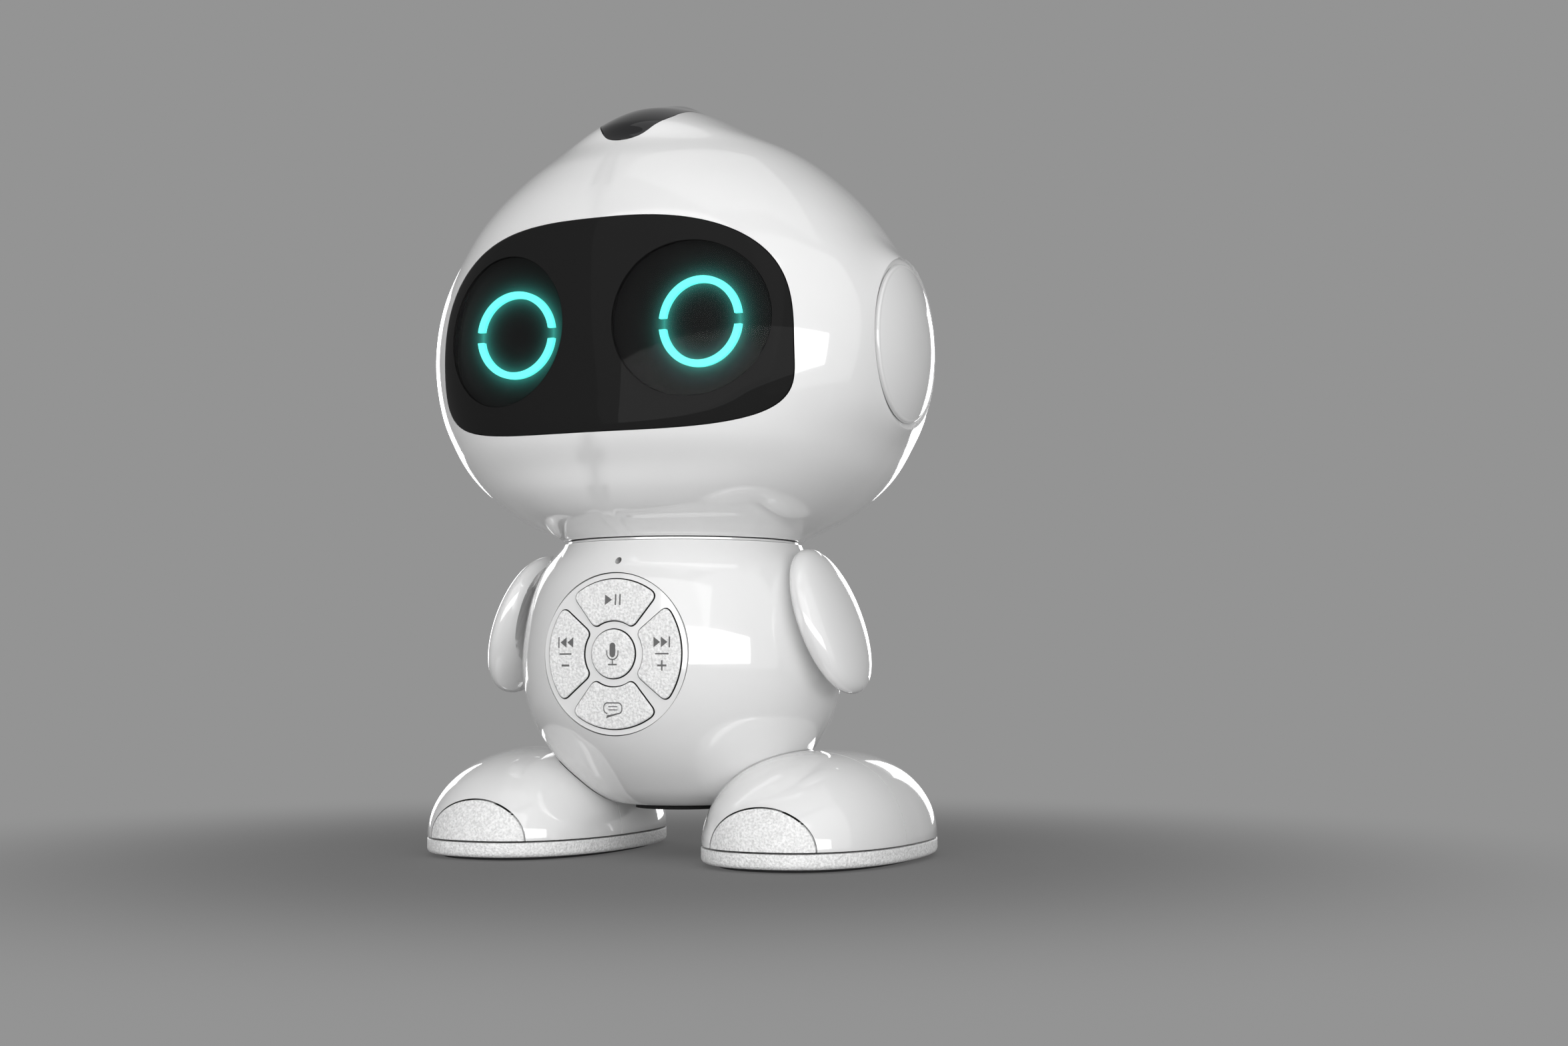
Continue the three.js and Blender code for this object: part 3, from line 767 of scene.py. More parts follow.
def tube_field(axis, radius, first, second):
    """Signed distance to a cylinder along an axis through a point of the other two."""
    others = [k for k in range(3) if k != axis]

    def field(points):
        a = points[:, others[0]] - first
        b = points[:, others[1]] - second
        return np.hypot(a, b) - radius

    return field


FINE = 200
SPAN = 130
NECK_HOLE = 30 * MM
HEAD_WALL = 2.4 * MM
LENS_WALL = 2.0 * MM
CROWN_WALL = 2.2 * MM

head_skin = head_solid("head_skin", FINE, SPAN)
head_whole = copy_of(head_skin, "head_whole")
flare = ear_flare()
combine(head_whole, mirrored(flare, "ear_flare_mirror"), "UNION")
combine(head_whole, flare, "UNION")
for side in (-1, 1):
    recess = disc_x(
        "ear_recess", EAR_RING_RADIUS, side * EAR_FACET, side * 100 * MM, 0, EAR_Z, 160
    )
    combine(head_whole, recess)
combine(head_whole, head_solid("head_hollow", 96, 60, HEAD_WALL))
combine(head_whole, disc_z("neck_hole", NECK_HOLE, 95 * MM, 112 * MM))
combine(head_whole, disc_x("ear_passage", 12 * MM, -90 * MM, 90 * MM, 0, EAR_Z))

far = 90 * MM
head_front = copy_of(head_whole, "head_front_visual")
combine(head_front, box_tool("rear_half", -far, far, head_parting, far, 0.09, 0.26))
combine(head_front, prism("window_tool", window_outline(0), -far, -20 * MM))
combine(head_front, crown_tool(0))
head_rear = head_whole
head_rear.name = "head_rear_visual"
combine(head_rear, box_tool("front_half", -far, far, -far, head_rear_box[0][1], 0.09, 0.26))

lens = prism("face_lens_visual", window_outline(-GAP), -far, -20 * MM)
combine(lens, head_skin, "INTERSECT", keep_tool=True)
combine(lens, head_solid("lens_hollow", 160, 100, LENS_WALL))
crown = crown_tool(-GAP)
crown.name = "crown_window_visual"
combine(crown, head_skin, "INTERSECT", keep_tool=True)
combine(crown, head_solid("crown_hollow", 160, 100, CROWN_WALL))
discard(head_skin)


def inner_head_field(inset):
    """The head's skin drawn in by an inset."""
    factors = 1 - inset / head_half
    return lambda points: head_field((points - head_middle) / factors + head_middle)


ear_rings = [tube_field(0, EAR_RING_RADIUS, 0, EAR_Z)]
shell_fields = (head_field, ear_flare_field, *ear_rings, inner_head_field(HEAD_WALL))
polish(head_front, *shell_fields)
polish(head_rear, *shell_fields)
polish(lens, head_field, inner_head_field(LENS_WALL))
polish(crown, head_field, inner_head_field(CROWN_WALL))
finish_piece(head_front, GLOSS, ROOT, "gloss", "head_front_shell")
finish_piece(head_rear, GLOSS, ROOT, "gloss", "head_rear_cover")
finish_piece(lens, LENS, ROOT, "lens", "face_lens")
finish_piece(crown, BLACK_GLOSS, ROOT, "lens", "crown_touch_window")


def soften(piece, angle=35):
    """Smooth shading with edges sharper than the angle kept crisp."""
    piece.data.shade_smooth()
    piece.data.set_sharp_from_angle(angle=math.radians(angle))
    return piece


def turned(name, profile, axis, count, centre=(0, 0)):
    """A solid turned about an axis, from (place along the axis, radius) pairs."""
    rings = []
    for along, radius in profile:
        rings.append(level_ring(axis, along, *circle(radius, count, *centre).T))
    return upright(loft(name, rings))


# ---------------------------------------------------------------- eyes

def arc_outline(centre_x, upward, count=72):
    """Half of a broken ring seen from the front."""
    lift = EYE_BREAK / 2
    points = []
    for radius, turn in ((EYE_RADIUS, 1), (EYE_RADIUS - EYE_STROKE, -1)):
        start = math.asin(lift / radius)
        sweep = np.linspace(start, math.pi - start, count)[::turn]
        points.extend(zip(radius * np.cos(sweep), radius * np.sin(sweep)))
    outline = np.array(points)
    if not upward:
        outline[:, 1] *= -1
    return outline + (centre_x, EYE_Z)


for level_name, upward in (("upper", True), ("lower", False)):
    for side_name, side in (("left", 1), ("right", -1)):
        node = f"eye_{level_name}_arc_{side_name}"
        node_low, node_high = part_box(node)
        arc = prism(f"{node}_light", arc_outline(side * EYE_X, upward), node_low[1], node_high[1])
        finish_piece(soften(arc), GLOW, ROOT, "glow", node)

mask_low, mask_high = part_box("eye_mask")
mask = prism("eye_mask_panel", window_outline(-3 * MM), mask_low[1], mask_high[1])
combine(mask, head_solid("mask_limit", 160, 100, LENS_WALL + 0.6 * MM), "INTERSECT")
# The mask panel wears the painted glow.
finish_piece(soften(mask), PAINTED_HALO, ROOT, "black", "eye_mask")

# ---------------------------------------------------------------- ears

ear_low, ear_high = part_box("ear_cap_left")
EAR_SEAT = EAR_FACET + GAP
EAR_RISE = ear_high[0] - EAR_SEAT
EAR_STEM = 11.6 * MM
EAR_EDGE = 0.9 * MM
EAR_EDGE_HEIGHT = 1.6 * MM


def ear_profile(steps=40):
    """Stem, rim, rounded edge and shallow dome of the left ear cap, from the inside out."""
    profile = [(ear_low[0], EAR_STEM), (EAR_SEAT, EAR_STEM)]
    profile += [(EAR_SEAT, EAR_RADIUS - EAR_EDGE / 4), (EAR_SEAT + EAR_EDGE / 4, EAR_RADIUS)]
    base = EAR_SEAT + EAR_EDGE_HEIGHT - EAR_EDGE
    for angle in np.linspace(0, math.pi / 2, 10):
        radius = EAR_RADIUS - EAR_EDGE * (1 - math.cos(angle))
        profile.append((base + EAR_EDGE * math.sin(angle) * 0.97, radius))
    flat_radius = EAR_RADIUS - EAR_EDGE
    for part in np.linspace(0.985, 0.006, steps):
        rise = (EAR_RISE - EAR_EDGE_HEIGHT) * (1 - part**2.2)
        profile.append((EAR_SEAT + EAR_EDGE_HEIGHT + rise, flat_radius * part))
    return profile


ear = turned("ear_cap_left_visual", ear_profile(), "X", 160, (0, EAR_Z))
other_ear = mirrored(ear, "ear_cap_right_visual")
finish_piece(soften(ear), GLOSS, ROOT, "gloss", "ear_cap_left")
finish_piece(soften(other_ear), GLOSS, ROOT, "gloss", "ear_cap_right")

# ---------------------------------------------------------------- neck and body

BODY_LEVELS = [
    (16.8, 18.5),
    (17.3, 22.5),
    (20.2, 28.6),
    (24, 33.7),
    (31.3, 41.2),
    (39, 46.8),
    (48.3, 51),
    (60.7, 53),
    (74.2, 52.2),
    (86, 49.5),
    (94, 45.6),
    (101.4, 39.8),
]
body_profile = smooth_profile([(r, z) for z, r in BODY_LEVELS], 60) * MM


def body_field(points):
    radius = np.interp(points[:, 2], body_profile[:, 1], body_profile[:, 0])
    return np.hypot(points[:, 0], points[:, 1]) - radius


def body_solid(name, count, samples, grow=0.0):
    rows = resample(body_profile, samples)
    return turned(name, [(z, radius + grow) for radius, z in rows], "Z", count)


def slot_tool(x, half_width=1.0 * MM, half_length=11 * MM):
    outline = stadium(half_width, -half_length, half_length, 8) + (x, 0)
    return prism("grille_slot", outline, 10 * MM, 25 * MM, axis="Z")


collar_low, collar_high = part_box("neck_collar")
FLANGE_RADIUS = collar_high[0]
COLLAR_RADIUS = NECK_HOLE - GAP
COLLAR_BORE = 25.5 * MM
collar_profile = [
    (collar_low[2], COLLAR_BORE),
    (collar_low[2], COLLAR_RADIUS),
    (101.6 * MM, COLLAR_RADIUS),
    (101.6 * MM, FLANGE_RADIUS - 0.25 * MM),
    (101.7 * MM, FLANGE_RADIUS),
    (102.3 * MM, FLANGE_RADIUS),
    (102.4 * MM, FLANGE_RADIUS - 0.25 * MM),
    (102.4 * MM, COLLAR_RADIUS),
    (collar_high[2], COLLAR_RADIUS),
    (collar_high[2], COLLAR_BORE),
]
collar_rows = [
    level_ring("Z", z, *circle(radius, 160).T) for z, radius in collar_profile + collar_profile[:1]
]
collar = upright(ring_solid("neck_collar_visual", collar_rows))
finish_piece(soften(collar), GLOSS, ROOT, "gloss", "neck_collar")

body_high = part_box("body_front_shell")[1]
body_rear_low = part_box("body_rear_cover")[0]
KEYPAD_Z = 65.4 * MM
KEYPAD_RADIUS = 25.2 * MM
KEYPAD_FACE = -47.9 * MM
KEYPAD_CROWN = 300 * MM
PIVOT_Y, PIVOT_Z, PIVOT_RADIUS = -5.2 * MM, 84 * MM, 3 * MM
MICROPHONE_Z = 94.6 * MM
MICROPHONE_RADIUS = 1.1 * MM
ANKLE_X = 29 * MM
ANKLE_RADIUS = 1.8 * MM
GRILLE_SLOTS = (-9, -4.5, 0, 4.5, 9)

body_whole = body_solid("body_rear_visual", FINE, SPAN)
hollow = body_solid("body_hollow", 96, 60)
hollow_middle = np.array([0, 0, 59 * MM])
hollow_points = (read_points(hollow.data) - hollow_middle) * (0.955, 0.955, 0.943)
hollow.data.vertices.foreach_set("co", (hollow_points + hollow_middle).ravel())
combine(body_whole, hollow)
combine(body_whole, disc_z("neck_opening", NECK_HOLE, 90 * MM, 120 * MM))
combine(body_whole, disc_x("pivot_hole", PIVOT_RADIUS + GAP, -far, far, PIVOT_Y, PIVOT_Z))
for side in (-1, 1):
    ankle = disc_z("ankle_hole", ANKLE_RADIUS, 10 * MM, 40 * MM, side * ANKLE_X, 0, 32)
    combine(body_whole, ankle)
body_front = copy_of(body_whole, "body_front_visual")
combine(body_front, box_tool("rear_half", -far, far, body_high[1], far, 0, 0.12))
combine(body_front, disc_y("keypad_seat", KEYPAD_RADIUS + GAP, -far, -30 * MM, 0, KEYPAD_Z, 160))
microphone = disc_y("microphone_hole", MICROPHONE_RADIUS, -far, -30 * MM, 0, MICROPHONE_Z, 32)
combine(body_front, microphone)
for slot in GRILLE_SLOTS:
    combine(body_front, slot_tool(slot * MM))


def rounded_box(half_width, half_height, corner, count=10):
    """Rounded rectangle outline about the origin."""
    points = []
    for quarter, (sx, sz) in enumerate(((1, 1), (-1, 1), (-1, -1), (1, -1))):
        for angle in np.linspace(0, math.pi / 2, count) + quarter * math.pi / 2:
            x = sx * (half_width - corner) + corner * math.cos(angle)
            points.append((x, sz * (half_height - corner) + corner * math.sin(angle)))
    return np.array(points)


switch_low, switch_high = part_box("power_switch_knob")
socket_low, socket_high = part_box("charging_socket")
switch_z = (switch_low[2] + switch_high[2]) / 2
socket_z = (socket_low[2] + socket_high[2]) / 2
combine(body_whole, box_tool("front_half", -far, far, -far, body_rear_low[1], 0, 0.12))
opening = rounded_box(6 * MM, 2.5 * MM, 0.8 * MM) + (0, switch_z)
combine(body_whole, prism("switch_opening", opening, 30 * MM, far))
opening = rounded_box(5 * MM, 2.25 * MM, 2 * MM) + (0, socket_z)
combine(body_whole, prism("socket_opening", opening, 30 * MM, far))
body_fields = (
    body_field,
    tube_field(1, KEYPAD_RADIUS + GAP, 0, KEYPAD_Z),
    tube_field(1, MICROPHONE_RADIUS, 0, MICROPHONE_Z),
)
polish(body_front, *body_fields)
polish(body_whole, *body_fields)
finish_piece(body_front, GLOSS, ROOT, "gloss", "body_front_shell")
finish_piece(body_whole, GLOSS, ROOT, "gloss", "body_rear_cover")

# ---------------------------------------------------------------- keypad

BUTTON_INNER = 10.4 * MM
BUTTON_OUTER = 23.3 * MM
BUTTON_HALF_ANGLE = 0.7
BUTTON_CORNER = 2.4 * MM
BUTTON_ROUND = 7.6 * MM
BUTTON_PROUD = 0.8 * MM
BUTTON_EDGE = 0.45 * MM
bezel_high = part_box("keypad_bezel")[1]


def keypad_surface(x, z, lift=0.0):
    """Y of the bulging keypad face, carried forward by a lift."""
    square = x**2 + (z - KEYPAD_Z) ** 2
    sag = KEYPAD_CROWN - np.sqrt(KEYPAD_CROWN**2 - square)
    return KEYPAD_FACE - lift + sag


def sector_outline(grow, count=200):
    """A button between two arcs, pointing up, with rounded corners; about the keypad centre."""
    inner, outer = BUTTON_INNER - grow, BUTTON_OUTER + grow
    corner = max(BUTTON_CORNER + grow, 0.4 * MM)

    def spot(radius, angle):
        return np.array([radius * math.sin(angle), radius * math.cos(angle)])

    def half_angle(radius):
        return BUTTON_HALF_ANGLE + grow / radius - 0.02

    def edge(radius, side):
        return spot(radius, side * half_angle(radius))

    def bend(start, control, stop, steps=14):
        t = np.linspace(0, 1, steps)[:, None]
        return (1 - t) ** 2 * start + 2 * t * (1 - t) * control + t**2 * stop

    outer_soft = half_angle(outer) - corner / outer
    inner_soft = half_angle(inner) - 0.8 * corner / inner
    outer_arc = [spot(outer, a) for a in np.linspace(-outer_soft, outer_soft, 60)]
    inner_arc = [spot(inner, a) for a in np.linspace(inner_soft, -inner_soft, 40)]
    low_side, high_side = inner + corner, outer - corner
    points = np.vstack(
        [
            bend(edge(high_side, -1), edge(outer, -1), outer_arc[0]),
            outer_arc,
            bend(outer_arc[-1], edge(outer, 1), edge(high_side, 1)),
            bend(edge(low_side, 1), edge(inner, 1), inner_arc[0]),
            inner_arc,
            bend(inner_arc[-1], edge(inner, -1), edge(low_side, -1)),
        ]
    )
    return even_outline(points, count)


def spine_of(outline):
    """Nearest points on the middle line of a sector button."""
    middle = (BUTTON_INNER + BUTTON_OUTER) / 2
    reach = BUTTON_HALF_ANGLE - (BUTTON_OUTER - BUTTON_INNER) / 2 / middle
    angle = np.clip(np.arctan2(outline[:, 0], outline[:, 1]), -reach, reach)
    return np.stack([middle * np.sin(angle), middle * np.cos(angle)], axis=1)


def turn_outline(outline, degrees):
    """Turn a front-view outline clockwise about the keypad centre, then lift it into place."""
    angle = math.radians(degrees)
    x = outline[:, 0] * math.cos(angle) + outline[:, 1] * math.sin(angle)
    z = -outline[:, 0] * math.sin(angle) + outline[:, 1] * math.cos(angle)
    return np.stack([x, z + KEYPAD_Z], axis=1)


def button_shape(turn, grow, count=200):
    if turn is None:
        return circle(BUTTON_ROUND + grow, count, 0, KEYPAD_Z)
    return turn_outline(sector_outline(grow, count), turn)


def front_ring(outline, depth):
    depth = np.broadcast_to(depth, len(outline))
    return np.stack([outline[:, 0], depth, outline[:, 1]], axis=1)


def button_solid(name, turn, node):
    """Flange, stem, rounded edge and crowned face of one button."""
    _, node_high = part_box(node)
    back = node_high[1]
    flange_front = back - 1.0 * MM
    wide, plain = button_shape(turn, 1.0 * MM), button_shape(turn, 0)
    rings = [front_ring(wide, back), front_ring(wide, flange_front)]
    rings.append(front_ring(plain, flange_front))
    for angle in np.linspace(0, math.pi / 2, 7):
        outline = button_shape(turn, -BUTTON_EDGE * (1 - math.cos(angle)))
        surface = keypad_surface(outline[:, 0], outline[:, 1], BUTTON_PROUD)
        rings.append(front_ring(outline, surface + BUTTON_EDGE * (1 - math.sin(angle))))
    rim = button_shape(turn, -BUTTON_EDGE)
    if turn is None:
        spine = np.tile([0, KEYPAD_Z], (len(rim), 1))
    else:
        spine = turn_outline(spine_of(sector_outline(-BUTTON_EDGE, len(rim))), turn)
    for part in (0.8, 0.6, 0.4, 0.2, 0.02):
        outline = spine + (rim - spine) * part
        surface = keypad_surface(outline[:, 0], outline[:, 1], BUTTON_PROUD)
        rings.append(front_ring(outline, surface))
    return upright(loft(name, rings))


BUTTONS = {
    "play_pause_button": (0, "play_pause_key"),
    "next_button": (90, "next_key"),
    "chat_button": (180, "chat_key"),
    "previous_button": (270, "previous_key"),
    "talk_button": (None, "talk_key"),
}


def glyph_bar(x, z, half_width, half_height, corner=0.12 * MM):
    return rounded_box(half_width, half_height, corner, 4) + (x, z)


def glyph_triangle(x, z, wide, tall, side=1):
    """A triangle pointing along +x, or along -x with side -1."""
    corners = np.array([(-wide / 2, tall / 2), (wide / 2, 0), (-wide / 2, -tall / 2)])
    return corners * (side, 1) + (x, z)


def glyph_capsule(x, z, radius, half_height):
    return stadium(radius, -half_height, half_height, 16) + (x, z)


def glyph_cradle(x, z, radius, stroke, rise):
    """A U-shaped bracket, open at the top."""
    sweep = np.linspace(0, -math.pi, 32)
    outer = np.stack([np.cos(sweep), np.sin(sweep)], axis=1) * (radius + stroke)
    inner = np.stack([np.cos(sweep[::-1]), np.sin(sweep[::-1])], axis=1) * radius
    right_tip = [(radius, rise), (radius + stroke, rise)]
    left_tip = [(-radius - stroke, rise), (-radius, rise)]
    return np.vstack([right_tip, outer, left_tip, inner]) + (x, z)


def glyph_bubble(x, z, half_width, half_height, tail):
    """A rounded speech bubble with a small tail at its lower left."""
    outline = rounded_box(half_width, half_height, half_height * 0.8, 10)
    lower = np.argmin(np.hypot(outline[:, 0] + half_width * 0.35, outline[:, 1] + half_height))
    tip = [(-half_width * 0.75, -half_height - tail)]
    return np.vstack([outline[: lower + 1], tip, outline[lower + 1 :]]) + (x, z)


middle_radius = (BUTTON_INNER + BUTTON_OUTER) / 2
TALL = 3.4 * MM
skip_z = KEYPAD_Z + 3.6 * MM
sign_z = KEYPAD_Z - 3.6 * MM


def skip_glyphs(side):
    """Two triangles and a bar, a dividing line; side 1 points along +x."""
    x = side * (middle_radius + 0.2 * MM)
    return [
        glyph_triangle(x - side * 1.75 * MM, skip_z, 2.3 * MM, TALL, side),
        glyph_triangle(x + side * 0.75 * MM, skip_z, 2.3 * MM, TALL, side),
        glyph_bar(x + side * 2.5 * MM, skip_z, 0.28 * MM, TALL / 2),
        glyph_bar(x, KEYPAD_Z, 2.3 * MM, 0.24 * MM),
    ]


def plus_outline(x, z, reach, half_stroke):
    a, b = reach, half_stroke
    corners = [(b, b), (b, a), (-b, a), (-b, b), (-a, b), (-a, -b)]
    corners += [(-b, -b), (-b, -a), (b, -a), (b, -b), (a, -b), (a, b)]
    return np.array(corners) + (x, z)


sign_x = middle_radius + 0.2 * MM
GLYPHS = {
    "play_pause_button": [
        glyph_triangle(-1.75 * MM, KEYPAD_Z + middle_radius, 2.6 * MM, TALL),
        glyph_bar(0.75 * MM, KEYPAD_Z + middle_radius, 0.3 * MM, TALL / 2),
        glyph_bar(2.3 * MM, KEYPAD_Z + middle_radius, 0.3 * MM, TALL / 2),
    ],
    "next_button": skip_glyphs(1) + [plus_outline(sign_x, sign_z, 1.6 * MM, 0.3 * MM)],
    "previous_button": skip_glyphs(-1) + [glyph_bar(-sign_x, sign_z, 1.5 * MM, 0.32 * MM)],
    "chat_button": [glyph_bubble(0, KEYPAD_Z - middle_radius, 3.4 * MM, 1.85 * MM, 1.3 * MM)],
    "talk_button": [
        glyph_capsule(0, KEYPAD_Z + 1.2 * MM, 1.05 * MM, 2.3 * MM),
        glyph_cradle(0, KEYPAD_Z + 0.2 * MM, 1.75 * MM, 0.42 * MM, 0.9 * MM),
        glyph_bar(0, KEYPAD_Z - 2.55 * MM, 0.24 * MM, 0.6 * MM),
        glyph_bar(0, KEYPAD_Z - 3.35 * MM, 1.6 * MM, 0.22 * MM),
    ],
}
ENGRAVING = 0.32 * MM
INLAY_DEPTH = 0.2 * MM


def glyph_tool(name, outline, depth_from, depth_to):
    """A prism between two depths below the button's face."""
    surface = keypad_surface(outline[:, 0], outline[:, 1], BUTTON_PROUD)
    rings = [front_ring(outline, surface + depth_to), front_ring(outline, surface + depth_from)]
    return upright(loft(name, rings))


def paint_skirt_shade(button):
    """The key's skirt, sunk in the gap round the key, is dull black as painted shade so the gap
    reads as a dark line; only its face is white.
    """
    button.data.materials.append(DULL_BLACK)
    for face in button.data.polygons:
        surface = keypad_surface(face.center.x, face.center.z, BUTTON_PROUD)
        if face.center.y > surface + 0.75 * MM:
            face.material_index = 1


for node, (turn, body) in BUTTONS.items():
    button = button_solid(f"{node}_cap", turn, node)
    for index, outline in enumerate(GLYPHS[node]):
        combine(button, glyph_tool("engraver", outline, -1 * MM, ENGRAVING))
        # Dark filling in each engraving, painted shade for its groove.
        shade_inlay = glyph_tool(f"{node}_inlay_{index}", outline, INLAY_DEPTH, ENGRAVING)
        finish_piece(soften(shade_inlay), GROOVE_SHADE, body, "matte")
    if node == "chat_button":
        island_outline = glyph_bubble(0, KEYPAD_Z - middle_radius, 3.0 * MM, 1.45 * MM, 0.8 * MM)
        island = glyph_tool(f"{node}_island", island_outline, 0.02 * MM, ENGRAVING - 0.01 * MM)
        for row in (0.5, -0.5):
            line = glyph_bar(0, KEYPAD_Z - middle_radius + row * MM, 1.7 * MM, 0.16 * MM)
            combine(island, glyph_tool("line_engraver", line, -1 * MM, ENGRAVING))
        finish_piece(soften(island), MATTE, body, "matte")
    finish_piece(soften(button, 30), MATTE, body, "matte", node)
    # Painted shade on the key's sunken skirt.
    paint_skirt_shade(button)

bezel = disc_y("keypad_bezel_visual", KEYPAD_RADIUS, -60 * MM, bezel_high[1], 0, KEYPAD_Z, 200)
dome_rings = []
for radius in np.concatenate([[32], np.linspace(32, 0.4, 24)]) * MM:
    outline = circle(radius, 160, 0, KEYPAD_Z)
    depth = keypad_surface(outline[:, 0], outline[:, 1]) if dome_rings else 20 * MM
    dome_rings.append(front_ring(outline, depth))
combine(bezel, upright(loft("bezel_dome", dome_rings)), "INTERSECT")
for turn, _ in BUTTONS.values():
    outline = button_shape(turn, 0.35 * MM)
    combine(bezel, prism("button_hole", outline, -far, 0))


def bezel_field(points):
    return points[:, 1] - keypad_surface(points[:, 0], points[:, 2])


polish(bezel, bezel_field, tube_field(1, KEYPAD_RADIUS, 0, KEYPAD_Z))
finish_piece(bezel, GLOSS, ROOT, "gloss", "keypad_bezel")

# ---------------------------------------------------------------- arms

ARM_X, ARM_Y, ARM_Z = 55.4 * MM, -5.2 * MM, 76 * MM
ARM_THICK, ARM_WIDE, ARM_LONG = 7.5 * MM, 21 * MM, 24.5 * MM
ARM_TILT = math.radians(20)
ARM_CLEARANCE = 1 * MM
arm_centre = np.array([ARM_X, ARM_Y, ARM_Z])
arm_turn = np.array(Matrix.Rotation(-ARM_TILT, 3, "Y"))


def arm_paddle(name, count, steps):
    rings = []
    for angle in (np.linspace(0.005, 0.995, steps) - 0.5) * math.pi:
        swell = math.cos(angle) ** 0.9
        rings.append(
            super_ring(ARM_LONG * math.sin(angle), ARM_THICK * swell, ARM_WIDE * swell, 2, count)
        )
    points = np.array(rings) @ arm_turn.T + arm_centre
    return upright(loft(name, points))


def arm_field(points):
    local = (points - arm_centre) @ arm_turn
    up = np.clip(np.abs(local[:, 2]) / ARM_LONG, 0, 1)
    swell = (1 - up**2) ** 0.45
    return np.hypot(local[:, 0] / ARM_THICK, local[:, 1] / ARM_WIDE) - swell


arm = arm_paddle("arm_left_visual", 128, 72)
for degrees in np.linspace(-25, 60, 10):
    core = body_solid("body_sweep", 96, 50, ARM_CLEARANCE)
    pivot = Matrix.Translation((0, PIVOT_Y, PIVOT_Z))
    spin = pivot @ Matrix.Rotation(math.radians(degrees), 4, "X") @ pivot.inverted()
    core.data.transform(spin)
    combine(arm, core)
bore_end = 57 * MM
combine(arm, disc_x("pivot_bore", PIVOT_RADIUS + GAP, 30 * MM, bore_end, PIVOT_Y, PIVOT_Z, 48))
other_arm = mirrored(arm, "arm_right_visual")


def mirror_field(field):
    return lambda points: field(points * (-1, 1, 1))


polish(arm, arm_field)
polish(other_arm, mirror_field(arm_field))
finish_piece(arm, GLOSS, "left_arm", "gloss", "arm_left")
finish_piece(other_arm, GLOSS, "right_arm", "gloss", "arm_right")

# ---------------------------------------------------------------- feet

FOOT_X = 50.2 * MM
FOOT_HALF_WIDTH = 32.4 * MM
FOOT_HALF_LENGTH = 51.65 * MM
FOOT_POWER = 2.35
FOOT_SEAM = 6.4 * MM
FOOT_TOP = 34.8 * MM
FOOT_WALL = 2.2 * MM
DOME_SHRINK = 0.84
DOME_SWELL = 1.02
TOE_HALF_WIDTH = 17.8 * MM
TOE_RISE = 13 * MM
TOE_GAP = 0.5 * MM


def foot_ring(z, inset, count=176):
    return super_ring(
        z, FOOT_HALF_WIDTH - inset, FOOT_HALF_LENGTH - inset, FOOT_POWER, count, FOOT_X, 0
    )


def foot_dome(name, inset, count, steps):
    height_over_seam = FOOT_TOP - FOOT_SEAM - inset
    rings = []
    for angle in np.linspace(0, 0.995, steps) * math.pi / 2:
        shrink = math.cos(angle) ** DOME_SHRINK
        z = FOOT_SEAM + height_over_seam * math.sin(angle) ** DOME_SWELL
        half_width = (FOOT_HALF_WIDTH - inset) * shrink
        half_length = (FOOT_HALF_LENGTH - inset) * shrink
        rings.append(super_ring(z, half_width, half_length, FOOT_POWER, count, FOOT_X, 0))
    return upright(loft(name, rings))


def foot_field(points):
    up = np.clip((points[:, 2] - FOOT_SEAM) / (FOOT_TOP - FOOT_SEAM), 0, 1)
    sine = up ** (1 / DOME_SWELL)
    shrink = np.sqrt(np.clip(1 - sine**2, 0, 1)) ** DOME_SHRINK
    across = np.abs(points[:, 0] - FOOT_X) / FOOT_HALF_WIDTH
    along = np.abs(points[:, 1]) / FOOT_HALF_LENGTH
    return (across**FOOT_POWER + along**FOOT_POWER) ** (1 / FOOT_POWER) - shrink


def toe_outline(grow):
    angle = np.linspace(0, 2 * np.pi, 160, endpoint=False)
    x = FOOT_X + (TOE_HALF_WIDTH + grow) * np.cos(angle)
    return np.stack([x, FOOT_SEAM + (TOE_RISE + grow) * np.sin(angle)], axis=1)


dome = foot_dome("foot_dome", 0, 176, 48)
dome_hollow = foot_dome("foot_hollow", FOOT_WALL, 96, 28)
plug = upright(loft("hollow_plug", [foot_ring(z * MM, FOOT_WALL, 96) for z in (3.4, 6.5)]))
combine(dome_hollow, plug, "UNION")
foot_shell = copy_of(dome, "foot_rear_left_visual")
combine(foot_shell, dome_hollow, keep_tool=True)
combine(foot_shell, body_solid("ankle_tool", 160, 90, GAP))
combine(foot_shell, prism("toe_tool", toe_outline(0), -far, -20 * MM))
foot_front = copy_of(foot_shell, "foot_front_left_visual")
shoe_front_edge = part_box("foot_front_shell_left")[1][1]
shoe_rear_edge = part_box("foot_rear_shell_left")[0][1]
combine(foot_front, box_tool("rear_half", -far, far, shoe_front_edge, far, 0, 0.06))
combine(foot_shell, box_tool("front_half", -far, far, -far, shoe_rear_edge, 0, 0.06))
toe = prism("toe_cap_left_visual", toe_outline(-TOE_GAP), -far, -20 * MM)
combine(toe, dome, "INTERSECT")
combine(toe, dome_hollow)

